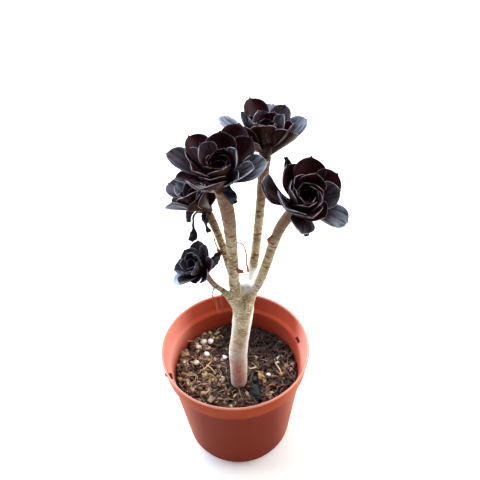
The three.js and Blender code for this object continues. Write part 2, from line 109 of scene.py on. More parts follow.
class Surface:
    """A node material with one Principled shader, built up socket by socket."""

    def __init__(self, name: str, values: dict[str, Any]) -> None:
        """Starts the material.

        Args:
            name: the material's name.
            values: the shader's constants, by socket.
        """
        self.material = bpy.data.materials.new(name)
        self.material.use_nodes = True
        self.tree = self.material.node_tree
        self.tree.nodes.clear()
        self.shader = self.node("BsdfPrincipled", values)
        self.node("OutputMaterial", {"Surface": self.shader.outputs["BSDF"]})

    def node(self, kind: str, inputs: dict[Any, Any] | None = None, **settings: Any) -> bpy.types.Node:
        """Adds one node with its settings, values and links.

        Args:
            kind: the node's type, without its ShaderNode prefix.
            inputs: socket name or number to a value, or to the output socket that feeds it.
            **settings: the node's own properties.

        Returns:
            The new node.
        """
        node = self.tree.nodes.new(f"ShaderNode{kind}")
        for name, value in settings.items():
            setattr(node, name, value)
        for socket, value in (inputs or {}).items():
            if isinstance(value, Socket):
                self.tree.links.new(value, node.inputs[socket])
            else:
                node.inputs[socket].default_value = value
        return node

    def place(self) -> Socket:
        """Returns each point's place on the object, in metres."""
        return self.node("TexCoord").outputs["Object"]

    def axis(self, vector: Socket, name: str) -> Socket:
        """Returns the part of a vector along X, Y or Z."""
        return self.node("SeparateXYZ", {"Vector": vector}).outputs[name]

    def attribute(self, name: str, output: str = "Fac") -> Socket:
        """Reads one of the mesh's own attributes."""
        return self.node("Attribute", attribute_name=name).outputs[output]

    def channels(self, colour: Socket) -> list[Socket]:
        """Splits a colour into its red, green and blue."""
        return list(self.node("SeparateColor", {"Color": colour}).outputs)

    def noise(self, vector: Socket, size: float, detail: float) -> Socket:
        """Returns clouds of about the given size, in the vector's own units."""
        return self.node("TexNoise", {"Vector": vector, "Scale": 1 / size, "Detail": detail}).outputs["Fac"]

    def calc(self, operation: str, *values: Any) -> Socket:
        """Does one sum on numbers or sockets."""
        return self.node("Math", dict(enumerate(values)), operation=operation).outputs[0]

    def times(self, *values: Any) -> Socket:
        """Multiplies numbers or sockets, one after the other."""
        return reduce(lambda first, second: self.calc("MULTIPLY", first, second), values)

    def vector(self, operation: str, *values: Any) -> Socket:
        """Does one sum on vectors, and returns a number for a length or a distance."""
        node = self.node("VectorMath", dict(enumerate(values)), operation=operation)
        return node.outputs["Value" if operation in ("LENGTH", "DISTANCE") else "Vector"]

    def ranged(self, value: Socket, low: float, high: float, start: float = 0.0, end: float = 1.0) -> Socket:
        """Maps a value from low..high to start..end, eased and held at both ends."""
        ends = {"Value": value, "From Min": low, "From Max": high, "To Min": start, "To Max": end}
        return self.node("MapRange", ends, interpolation_type="SMOOTHSTEP").outputs["Result"]

    def mix(self, share: Any, first: Any, second: Any) -> Socket:
        """Mixes two colours, each a hex colour or a socket.

        Args:
            share: the second colour's share, as a number or a socket.
            first: the colour at a share of 0.
            second: the colour at a share of 1.

        Returns:
            The mixed colour.
        """
        ends = [srgb(colour) if isinstance(colour, str) else colour for colour in (first, second)]
        inputs = {"Factor": share, 6: ends[0], 7: ends[1]}
        return self.node("Mix", inputs, data_type="RGBA", clamp_factor=True).outputs[2]

    def finish(self, colour: Socket, height: Socket, strength: float, depth: float) -> bpy.types.Material:
        """Joins the base colour and a bump to the shader.

        Args:
            colour: the base colour.
            height: the bump's height, from 0 to 1.
            strength: the bump's strength.
            depth: the bump's depth, in millimetres.

        Returns:
            The finished material.
        """
        self.tree.links.new(colour, self.shader.inputs["Base Color"])
        bump = self.node("Bump", {"Height": height, "Strength": strength, "Distance": depth * MM})
        self.tree.links.new(bump.outputs["Normal"], self.shader.inputs["Normal"])
        return self.material


# Finishes


@dataclass(frozen=True)
class PotPlastic:
    """Terracotta-coloured polypropylene, injection moulded: half matte, light scatters a little in its wall,
    and light and shade are painted on it.
    """

    # lower is the darker tone of random clouds and of painted shade under the band; inner is the inside
    # painted lighter, below is painted shade under the ledge, side is painted light at both sides
    band: str = "#9c3b17"
    lower: str = "#722004"
    inner: str = "#b5513b"
    painted_glow: str = "#ffaf9f"
    below: str = "#9c4331"
    side: str = "#c4653f"
    lip_highlight: str = "#e8a794"
    slot_shade: str = "#561a10"
    roughness: float = 0.5
    specular: float = 0.03
    translucency: float = 0.4
    glow_depth: float = 2.5

    def material(self) -> bpy.types.Material:
        """Builds the plastic, which reads from "wall" whether a face is inside or in a slot.

        Returns:
            The material.
        """
        surface = Surface(
            "moulded_polypropylene",
            {
                "Roughness": self.roughness,
                "Specular IOR Level": self.specular,
                "Subsurface Weight": self.translucency,
                "Subsurface Radius": (1.0, 0.32, 0.2),
                "Subsurface Scale": self.glow_depth * MM,
            },
        )
        ranged, mix = surface.ranged, surface.mix
        place = surface.place()
        height, across = surface.axis(place, "Z"), surface.axis(place, "X")
        inside, slot_shade_mask = surface.channels(surface.attribute("wall", "Color"))[:2]
        # The outside: painted shade under the band, random cloudy tone, and painted light towards both sides
        outer = mix(ranged(height, 94 * MM, 84 * MM), self.band, self.lower)
        outer = mix(ranged(surface.noise(place, 28 * MM, 3.0), 0.4, 0.7, 0.0, 0.3), outer, self.lower)
        outer = mix(ranged(surface.calc("ABSOLUTE", across), 26 * MM, 58 * MM, 0.0, 0.85), outer, self.side)
        # The inside: painted lighter than the outside, with painted light shining through the band at the
        # left and the right, and painted shade below the ledge
        left = ranged(across, -34 * MM, -56 * MM, 0.0, 0.75)
        right = ranged(across, 50.5 * MM, 58 * MM, 0.0, 0.65)
        lit = surface.times(surface.calc("ADD", left, right), ranged(height, 76 * MM, 90 * MM))
        inner = mix(ranged(height, 91 * MM, 88 * MM), self.inner, self.below)
        colour = mix(inside, outer, mix(lit, inner, self.painted_glow))
        # Painted highlight along the top of the rim
        colour = mix(ranged(height, 106 * MM, 107.4 * MM, 0.0, 0.8), colour, self.lip_highlight)
        # Painted shade on the sides of the slots
        colour = mix(slot_shade_mask, colour, self.slot_shade)
        return surface.finish(colour, surface.noise(place, 0.7 * MM, 2.0), 0.12, 0.2)


@dataclass(frozen=True)
class Bark:
    """Soft young bark: dull beige skin with olive patches, pale flecks and brown lens-shaped leaf scars."""

    skin: str = "#b9a580"
    olive: str = "#8d7d50"
    pale: str = "#e8dfc9"
    # foot and lit carry painted light, and the colour after lit is a painted highlight on the fork
    foot: str = "#e6f0e4"
    lit: str = "#f6f6f0"
    fork_highlight: str = "#ffffff"
    scar: str = "#7a4a2e"
    blush: str = "#6e4832"
    roughness: float = 0.78
    fork: tuple[float, float, float] = (9.5, -13, 196)
    scar_spacing: float = 6.2
    scar_width: float = 2.8
    scar_height: float = 0.85

    def material(self) -> bpy.types.Material:
        """Builds the bark, which reads each point's straightened place "grown" and its "age".

        Returns:
            The material.
        """
        surface = Surface(
            "young_bark",
            {
                "Roughness": self.roughness,
                "Specular IOR Level": 0.3,
                "Sheen Weight": 0.25,
                "Sheen Roughness": 0.3,
            },
        )
        ranged, mix, calc, times = surface.ranged, surface.mix, surface.calc, surface.times
        place, grown, age = surface.place(), surface.attribute("grown", "Vector"), surface.attribute("age")
        patches = surface.noise(grown, 9 * MM, 4.0)
        fine = surface.noise(grown, 1.3 * MM, 4.0)
        flat = surface.node("Mapping", {"Vector": grown, "Scale": (1.0, 1.0, 2.4)}).outputs["Vector"]
        specks = surface.noise(flat, 2.0 * MM, 3.0)
        colour = mix(ranged(patches, 0.42, 0.66), self.skin, self.olive)
        colour = mix(ranged(specks, 0.54, 0.64, 0.0, 0.75), colour, self.pale)
        colour = mix(ranged(specks, 0.43, 0.34, 0.0, 0.6), colour, self.blush)
        # Painted light: the foot is painted pale against the shade and the red light inside the pot, and both
        # sides of the stem are painted lighter
        low = ranged(surface.axis(place, "Z"), 145 * MM, 105 * MM)
        colour = mix(times(low, ranged(patches, 0.3, 0.65, 1.0, 0.65)), colour, self.foot)
        side = surface.axis(grown, "X")
        right = ranged(side, 3.2 * MM, 6.4 * MM, 0.0, 0.9)
        left = ranged(side, -4.2 * MM, -6.8 * MM, 0.0, 0.5)
        colour = mix(calc("MAXIMUM", right, left), colour, self.lit)
        colour = mix(ranged(age, 0.5, 0.85, 0.0, 0.8), colour, self.blush)
        scars = times(self.scars(surface, grown, fine), ranged(age, 0.05, 0.3, 0.3, 1.0))
        colour = mix(times(scars, 0.95), colour, self.scar)
        # Painted highlight on the fork, as bright as in full sun
        away = surface.vector("DISTANCE", place, tuple(PLANT_POSE @ Vector(self.fork) * MM))
        colour = mix(ranged(away, 12 * MM, 4 * MM, 0.0, 0.9), colour, self.fork_highlight)
        return surface.finish(colour, calc("SUBTRACT", fine, scars), 0.6, 0.4)

    def scars(self, surface: Surface, grown: Socket, rough: Socket) -> Socket:
        """Draws lens-shaped scars that lie across the stem.

        Args:
            surface: the bark's material.
            grown: the straightened place on the stem, in metres.
            rough: a fine noise that frays the scars' outlines.

        Returns:
            A socket that is 1 in a scar and 0 between scars.
        """
        cells = surface.node(
            "TexVoronoi", {"Vector": grown, "Scale": 1 / (self.scar_spacing * MM), "Randomness": 0.8}
        )
        away = surface.vector("SUBTRACT", grown, cells.outputs["Position"])
        size = (self.scar_width, self.scar_width, self.scar_height)
        lens = surface.vector("MULTIPLY", away, tuple(1 / (side * MM) for side in size))
        frayed = surface.calc("ADD", surface.vector("LENGTH", lens), rough)
        return surface.ranged(frayed, 1.75, 1.3)


@dataclass(frozen=True)
class LeafSkin:
    """Waxy succulent leaf: near-black burgundy and glossy, with a pale thin rim and a brown underside."""

    upper: str = "#1f0b0f"
    warm: str = "#3a131a"
    # edge is painted sheen near the leaf's edges; the rim colour, partly the leaf's own pale margin, turns
    # into the painted highlight after it; the last colour is pale wax with painted sheen
    edge: str = "#3d2a38"
    under: str = "#30170f"
    rim: str = "#b4acb8"
    rim_highlight: str = "#e6f2f8"
    bloom_and_sheen: str = "#c0d2ea"
    roughness: float = 0.34
    specular: float = 0.07
    streak_size: float = 5 / 3

    def material(self) -> bpy.types.Material:
        """Builds the skin, which reads the attributes "blade" and "streak" of each point.

        Returns:
            The material.
        """
        surface = Surface("waxy_leaf", {"Roughness": self.roughness, "Specular IOR Level": self.specular})
        ranged, mix, times = surface.ranged, surface.mix, surface.times
        place = surface.place()
        edge, facing, bloom_and_sheen = surface.channels(surface.attribute("blade", "Color"))[:3]
        share = surface.attribute("blade", "Alpha")
        mottle = surface.noise(place, 6 * MM, 4.0)
        streaks = surface.noise(surface.attribute("streak", "Vector"), self.streak_size, 6.0)

        colour = mix(ranged(mottle, 0.35, 0.68), self.upper, self.warm)
        colour = mix(ranged(facing, 0.45, 0.2), colour, self.under)
        # Painted sheen: a purple tint on the outer part of the upper face, near the edges
        outer = times(
            ranged(edge, 6.0, 1.0, 0.0, 0.6), ranged(share, 0.3, 0.8), ranged(facing, 0.2, 0.45)
        )
        colour = mix(outer, colour, self.edge)
        # Pale wax with painted sheen and highlights lies in streaks along the edges and over the outer part
        # of the leaf
        reach = surface.calc(
            "MAXIMUM",
            times(ranged(edge, 5.0, 0.6), ranged(share, 0.25, 0.6, 0.0, 0.9)),
            ranged(share, 0.4, 0.95, 0.0, 0.75),
        )
        colour = mix(times(bloom_and_sheen, ranged(streaks, 0.34, 0.62, 0.2, 1.0), reach), colour, self.bloom_and_sheen)
        # The pale rim of the margin, which becomes a painted highlight where the leaf has bloom_and_sheen
        along = times(ranged(mottle, 0.36, 0.62, 0.1, 1.0), ranged(share, 0.3, 0.7, 0.2, 1.0))
        rim = mix(ranged(bloom_and_sheen, 0.0, 0.35), self.rim, self.rim_highlight)
        colour = mix(times(ranged(edge, 0.45, 0.1), along), colour, rim)
        return surface.finish(colour, surface.noise(place, 0.9 * MM, 3.0), 0.2, 0.25)


@dataclass(frozen=True)
class DriedLeaf:
    """A shrivelled dead leaf: blue-black, leathery and creased, with dull highlights."""

    dark: str = "#08090d"
    light: str = "#141922"
    roughness: float = 0.4
    specular: float = 0.2
    crease: float = 2.2

    def material(self) -> bpy.types.Material:
        """Builds the dead leaves' skin, creased and uneven.

        Returns:
            The material.
        """
        surface = Surface(
            "shrivelled_leaf", {"Roughness": self.roughness, "Specular IOR Level": self.specular}
        )
        creases = surface.noise(surface.place(), self.crease * MM, 5.0)
        colour = surface.mix(surface.ranged(creases, 0.4, 0.7), self.dark, self.light)
        return surface.finish(colour, creases, 0.7, 0.6)


@dataclass(frozen=True)
class LooseStuff:
    """Crumbs, chips and fibres: each has its own tone between a dark and a light colour, dull and grainy."""

    name: str
    dark: str
    middle: str
    light: str
    grain: float = 0.8
    roughness: float = 0.9

    def material(self) -> bpy.types.Material:
        """Builds a material that reads each piece's tone from the attribute "tone".

        Returns:
            The material.
        """
        surface = Surface(self.name, {"Roughness": self.roughness})
        ranged, mix = surface.ranged, surface.mix
        tone = surface.attribute("tone")
        grain = surface.noise(surface.place(), self.grain * MM, 3.0)
        colour = mix(ranged(tone, 0.0, 0.55), self.dark, self.middle)
        colour = mix(ranged(tone, 0.55, 1.0), colour, self.light)
        colour = mix(ranged(grain, 0.5, 0.75, 0.0, 0.45), colour, self.dark)
        return surface.finish(colour, grain, 0.5, 0.3)


# Damp brown mix, white grains, pale dry bark and rusty flakes of old skin
MIX_FINISH = LooseStuff("potting_mix", "#1f1410", "#543a2e", "#ccb08e")
PERLITE_FINISH = LooseStuff("perlite_grain", "#cfc9bb", "#ece8de", "#fbf9f3", 0.6, 0.85)
CHIP_FINISH = LooseStuff("dry_bark_chip", "#7a5236", "#b48a5f", "#dcbd93", 1.2)
FLAKE_FINISH = LooseStuff("rusty_flake", "#6b3015", "#9c4d25", "#c77f4f", 0.8)


# Meshes


def spline(points: Sequence[Vector], share: float) -> tuple[Vector, Vector]:
    """Finds a place on a smooth line through points.

    Args:
        points: two or more points.
        share: the place, from 0 at the first point to 1 at the last.

    Returns:
        The place and the line's direction there.
    """
    last = len(points) - 1
    scaled = min(max(share, 0.0), 1.0) * last
    index = min(int(scaled), last - 1)
    t = scaled - index
    p1, p2 = points[index], points[index + 1]
    p0 = points[index - 1] if index > 0 else 2 * p1 - p2
    p3 = points[index + 2] if index + 2 <= last else 2 * p2 - p1
    a, b, c = 2 * p0 - 5 * p1 + 4 * p2 - p3, 3 * p1 - p0 - 3 * p2 + p3, p2 - p0
    place = 0.5 * (2 * p1 + c * t + a * t * t + b * t * t * t)
    direction = 0.5 * (c + 2 * a * t + 3 * b * t * t)
    return place, direction.normalized()


def toned_mesh() -> tuple[Mesh, Any]:
    """Starts a mesh with a layer for the tone of each point."""
    bm = bmesh.new()
    return bm, bm.verts.layers.float.new("tone")


def mark(verts: Iterable[bmesh.types.BMVert], layer: Any, value: Any) -> None:
    """Gives all the points one value of a layer."""
    for vert in verts:
        vert[layer] = value


def round_off(bm: Mesh, geom: Sequence[Any], affect: str, offset: float, segments: int) -> None:
    """Rounds off corners or edges.

    Args:
        bm: the mesh.
        geom: the corners or edges.
        affect: "VERTICES" or "EDGES".
        offset: how far they are rounded off, in millimetres.
        segments: faces across each rounding.
    """
    bmesh.ops.bevel(
        bm, geom=geom, affect=affect, offset=offset * MM, segments=segments, profile=0.5, material=-1
    )


def spin_outline(
    bm: Mesh, outline: Sequence[tuple[float, float]], steps: int, rounding: float = 0.0
) -> None:
    """Spins an outline into a turned body about the Z axis.

    Args:
        bm: the empty mesh that the body is added to.
        outline: radii and heights, in millimetres.
        steps: faces round the body.
        rounding: how far each corner is rounded off, in millimetres.
    """
    points = [bm.verts.new((radius * MM, 0, level * MM)) for radius, level in outline]
    for first, second in zip(points, points[1:]):
        bm.edges.new((first, second))
    if rounding:
        round_off(bm, points[1:-1], "VERTICES", rounding, 3)
    geom = list(bm.verts) + list(bm.edges)
    turn = 2 * math.pi
    bmesh.ops.spin(bm, geom=geom, cent=(0, 0, 0), axis=(0, 0, 1), angle=turn, steps=steps, use_merge=True)
    bmesh.ops.remove_doubles(bm, verts=bm.verts, dist=1e-6)
    bmesh.ops.recalc_face_normals(bm, faces=bm.faces)


def roll_skin(
    bm: Mesh,
    sides: int,
    rows: int,
    place: Callable[[float, float], Vector],
    dress: Callable[[bmesh.types.BMVert], None] | None = None,
) -> list[bmesh.types.BMVert]:
    """Rolls a flat grid into a closed skin, such as a stem or a leaf.

    Args:
        bm: the mesh that the skin is added to.
        sides: faces round the skin.
        rows: faces along it.
        place: the place of the point at an angle and a share of the length.
        dress: what is done to each point once it is in place.

    Returns:
        The skin's vertices.
    """
    grid = bmesh.ops.create_grid(bm, x_segments=sides, y_segments=rows, size=1)["verts"]
    for vert in grid:
        vert.co = place(math.pi * vert.co.x, (vert.co.y + 1) / 2)
        if dress:
            dress(vert)
    bmesh.ops.remove_doubles(bm, verts=grid, dist=1e-7)
    kept = [vert for vert in grid if vert.is_valid]
    rim = {edge for vert in kept for edge in vert.link_edges if edge.is_boundary}
    bmesh.ops.holes_fill(bm, edges=list(rim), sides=0)
    bmesh.ops.recalc_face_normals(bm, faces=list({face for vert in kept for face in vert.link_faces}))
    return kept


def close_mesh(bm: Mesh, name: str) -> bpy.types.Mesh:
    """Turns a finished bmesh into a mesh.

    Args:
        bm: the bmesh; it is freed.
        name: the mesh's name.

    Returns:
        The mesh.
    """
    mesh = bpy.data.meshes.new(name)
    bm.to_mesh(mesh)
    bm.free()
    return mesh


def join_part(whole: Mesh, part: Mesh) -> None:
    """Adds a part to a bigger mesh, which is quicker than running operators on the bigger one.

    Args:
        whole: the mesh that grows.
        part: the mesh that is added; it is freed.
    """
    mesh = close_mesh(part, "part")
    whole.from_mesh(mesh)
    bpy.data.meshes.remove(mesh)


def add_object(name: str, data: Any) -> bpy.types.Object:
    """Puts a new object at the scene's origin.

    Args:
        name: the object's name.
        data: its mesh, lamp or camera.

    Returns:
        The object.
    """
    thing = bpy.data.objects.new(name, data)
    bpy.context.scene.collection.objects.link(thing)
    return thing


def finish_piece(
    bm: Mesh, name: str, material: bpy.types.Material, replaced: Sequence[str] = ()
) -> bpy.types.Object:
    """Turns a finished mesh into a piece of the plant that rides on its body.

    Args:
        bm: the piece's mesh, in metres; it is freed.
        name: the piece's name.
        material: its material.
        replaced: the CAD nodes that it stands for.

    Returns:
        The new object.
    """
    mesh = close_mesh(bm, name)
    mesh.materials.append(material)
    mesh.shade_smooth()
    piece = add_object(name, mesh)
    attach(piece, BODY)
    if replaced:
        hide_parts(*replaced)
    log.info("%s: %d faces", name, len(mesh.polygons))
    return piece


def settled(piece: bpy.types.Object) -> bpy.types.Mesh:
    """Works out a piece's modifiers and keeps the result as its mesh.

    Args:
        piece: an object with modifiers.

    Returns:
        The new mesh.
    """
    bpy.context.view_layer.update()
    graph = bpy.context.evaluated_depsgraph_get()
    mesh = bpy.data.meshes.new_from_object(piece.evaluated_get(graph))
    piece.modifiers.clear()
    old = piece.data
    piece.data = mesh
    bpy.data.meshes.remove(old)
    return mesh


@dataclass(frozen=True)
class Station:
    """A place on a shoot's middle line and half its thickness there."""

    x: float
    y: float
    z: float
    half: float

    @property
    def at(self) -> Vector:
        """The station's place as a vector."""
        return Vector((self.x, self.y, self.z))


Line = tuple[Station, ...]


def line(*rows: tuple[float, float, float, float]) -> Line:
    """Turns rows of x, y, z and half thickness into the stations of a shoot."""
    return tuple(Station(*row) for row in rows)


@dataclass(frozen=True)
class Shoot:
    """How a tapering shoot is made: faces round and along it, its pose, depth as a share of width, wander."""

    sides: int
    rows: int
    pose: Matrix = PLANT_POSE
    flatness: float = 1.0
    rough: float = 0.0

    def add(self, bm: Mesh, stations: Sequence[Station]) -> list[bmesh.types.BMVert]:
        """Adds a shoot along a smooth line.

        Args:
            bm: the mesh that the shoot is added to.
            stations: the line's points and thicknesses.

        Returns:
            The shoot's vertices.
        """
        points = [station.at for station in stations]
        widths = [Vector((station.half, 0, 0)) for station in stations]

        def place(angle: float, share: float) -> Vector:
            """Places a point of the shoot.

            Args:
                angle: how far it is round the shoot, in radians.
                share: how far it is along it, from 0 to 1.

            Returns:
                The place in metres.
            """
            centre, tangent = spline(points, share)
            half = spline(widths, share)[0].x
            side = Vector((0, 1, 0)).cross(tangent).normalized()
            depth = tangent.cross(side)
            spot = centre + side * (half * math.cos(angle))
            spot += depth * (half * self.flatness * math.sin(angle))
            if self.rough:
                spot += Vector(noise.noise_vector(spot / 3.0)) * self.rough
            return (self.pose @ spot) * MM

        return roll_skin(bm, self.sides, self.rows, place)


# The pot


@dataclass
class Pot:
    """The tapered nursery pot with its stepped-out upper band, as in the CAD part."""

    height: float = 108.0
    rim_radius: float = 60.5
    lip_width: float = 1.4
    band_height: float = 17.0
    band_foot_radius: float = 58.2
    wall_top_radius: float = 55.4
    base_radius: float = 44.2
    wall: float = 1.4
    floor: float = 2.2
    foot_flat_radius: float = 38.2
    inner_floor_radius: float = 39.8
    inner_corner: tuple[float, float] = (43.4, 5.8)
    inner_top: tuple[float, float] = (53.8, 89.6)
    rounding: float = 0.45
    segments: int = 160
    drains: int = 6
    drain_radius: float = 3.6
    drain_ring: float = 27.0
    slot_angles: tuple[float, ...] = (17.5, 197.5)
    slot_width: float = 4.0
    slot_height: float = 6.6
    slot_level: float = 96.6
    slot_depth: float = 3.8
    slot_draft: tuple[float, float] = (1.25, 0.3)
    slot_rounding: float = 0.6
    sharp_angle: float = 38.0
    finish: PotPlastic = PotPlastic()

    def outline(self) -> list[tuple[float, float]]:
        """Draws the wall's outline.

        Returns:
            Radii and heights, from the middle of the underside round to the floor.
        """
        foot = self.height - self.band_height
        rim = self.rim_radius
        return [
            (0, 0.6),
            (self.foot_flat_radius - 3, 0.6),
            (self.foot_flat_radius - 2.4, 0),
            (self.foot_flat_radius, 0),
            (self.base_radius - 1.2, 2),
            (self.base_radius + 1.2, 7.5),
            (self.wall_top_radius, foot - 1.2),
            (self.band_foot_radius, foot),
            (rim - 0.5, self.height - 2.4),
            (rim, self.height - 1.6),
            (rim - 0.4, self.height),
            (rim - self.lip_width + 0.2, self.height),
            (rim - self.lip_width - 0.4, self.height - 1),
            (self.band_foot_radius - self.wall, foot + 2.2),
            (self.wall_top_radius - self.wall, foot + 0.6),
            self.inner_top,
            self.inner_corner,
            (self.inner_floor_radius, self.floor),
            (0, self.floor),
        ]

    def build(self) -> None:
        """Spins the outline with rounded corners, then cuts the slots and drain holes."""
        bm = bmesh.new()
        spin_outline(bm, self.outline(), self.segments, self.rounding)
        pot = finish_piece(bm, "nursery_pot", self.finish.material(), ["pot"])
        cutter = self.cutter()
        cut = pot.modifiers.new("openings", "BOOLEAN")
        cut.object = cutter
        cut.solver = "EXACT"
        mesh = settled(pot)
        bpy.data.objects.remove(cutter)
        mesh.shade_smooth()
        mesh.set_sharp_from_angle(angle=math.radians(self.sharp_angle))
        self.mark_walls(mesh)

    def mark_walls(self, mesh: bpy.types.Mesh) -> None:
        """Tells each corner of the mesh whether it is on the inside of the wall, or in a slot.

        Args:
            mesh: the pot's finished mesh.
        """
        marks: list[float] = []
        for face in mesh.polygons:
            centre = face.center / MM
            inward = face.normal.x * centre.x + face.normal.y * centre.y < 0 and centre.z > 10
            colour = [float(inward), float(self.in_slot(centre, face.normal)), 0.0, 1.0]
            marks += colour * len(face.vertices)
        mesh.attributes.new("wall", "FLOAT_COLOR", "CORNER").data.foreach_set("color", marks)

    def in_slot(self, centre: Vector, normal: Vector) -> bool:
        """Tells whether a face belongs to a slot's own sides.

        Args:
            centre: the face's middle, in millimetres.
            normal: the face's direction.

        Returns:
            True for a side of a slot.
        """
        for angle in self.slot_angles:
            out = Vector((math.cos(math.radians(angle)), math.sin(math.radians(angle)), 0))
            across = Vector((-out.y, out.x, 0))
            near = abs(centre.dot(across)) < self.slot_width * 0.7 and centre.dot(out) > 0
            if near and abs(centre.z - self.slot_level) < self.slot_height * 0.7:
                return abs(normal.dot(out)) < 0.75
        return False

    def cutter(self) -> bpy.types.Object:
        """Builds the shapes of the slots and drain holes.

        Returns:
            A loose object that holds them.
        """
        bm = bmesh.new()
        radius = self.drain_radius * MM
        for index in range(self.drains):
            turn = Matrix.Rotation(2 * math.pi * index / self.drains, 4, "Z")
            matrix = turn @ Matrix.Translation(Vector((self.drain_ring * MM, 0, 0)))
            bmesh.ops.create_cone(
                bm, cap_ends=True, segments=24, radius1=radius, radius2=radius, depth=10 * MM, matrix=matrix
            )
        for angle in self.slot_angles:
            turn = Matrix.Rotation(math.radians(angle), 4, "Z")
            shift = Matrix.Translation(Vector((self.band_foot_radius, 0, self.slot_level)) * MM)
            size = Matrix.Diagonal((self.slot_depth * MM, self.slot_width * MM, self.slot_height * MM, 1))
            slot = bmesh.ops.create_cube(bm, size=1)["verts"]
            edges = {edge for vert in slot for edge in vert.link_edges}
            radial = [edge for edge in edges if abs(edge.verts[0].co.x - edge.verts[1].co.x) > 0.5]
            for vert in slot:
                draft = self.slot_draft[0] if vert.co.x < 0 else self.slot_draft[1]
                vert.co = turn @ shift @ size @ Vector((vert.co.x, vert.co.y * draft, vert.co.z * draft))
            round_off(bm, radial, "EDGES", self.slot_rounding, 4)
        return add_object("openings", close_mesh(bm, "openings"))


# The potting mix and what lies on it


def soil_height(x: float, y: float) -> float:
    """Works out the height of the mix at a place, as in the CAD part.

    Args:
        x: the place's x, in millimetres.
        y: its y.

    Returns:
        The height in millimetres.
    """
    broad = math.sin(0.11 * x + 0.9) * math.cos(0.13 * y - 0.4)
    fine = math.sin(0.31 * x - 0.17 * y) * math.cos(0.27 * y + 0.12 * x + 1.3)
    distance = math.hypot(x - TRUNK_CENTRE[0], y - TRUNK_CENTRE[1])
    return SOIL_LEVEL + 1.1 * (broad + fine) * smoothstep(distance, 8, 18)


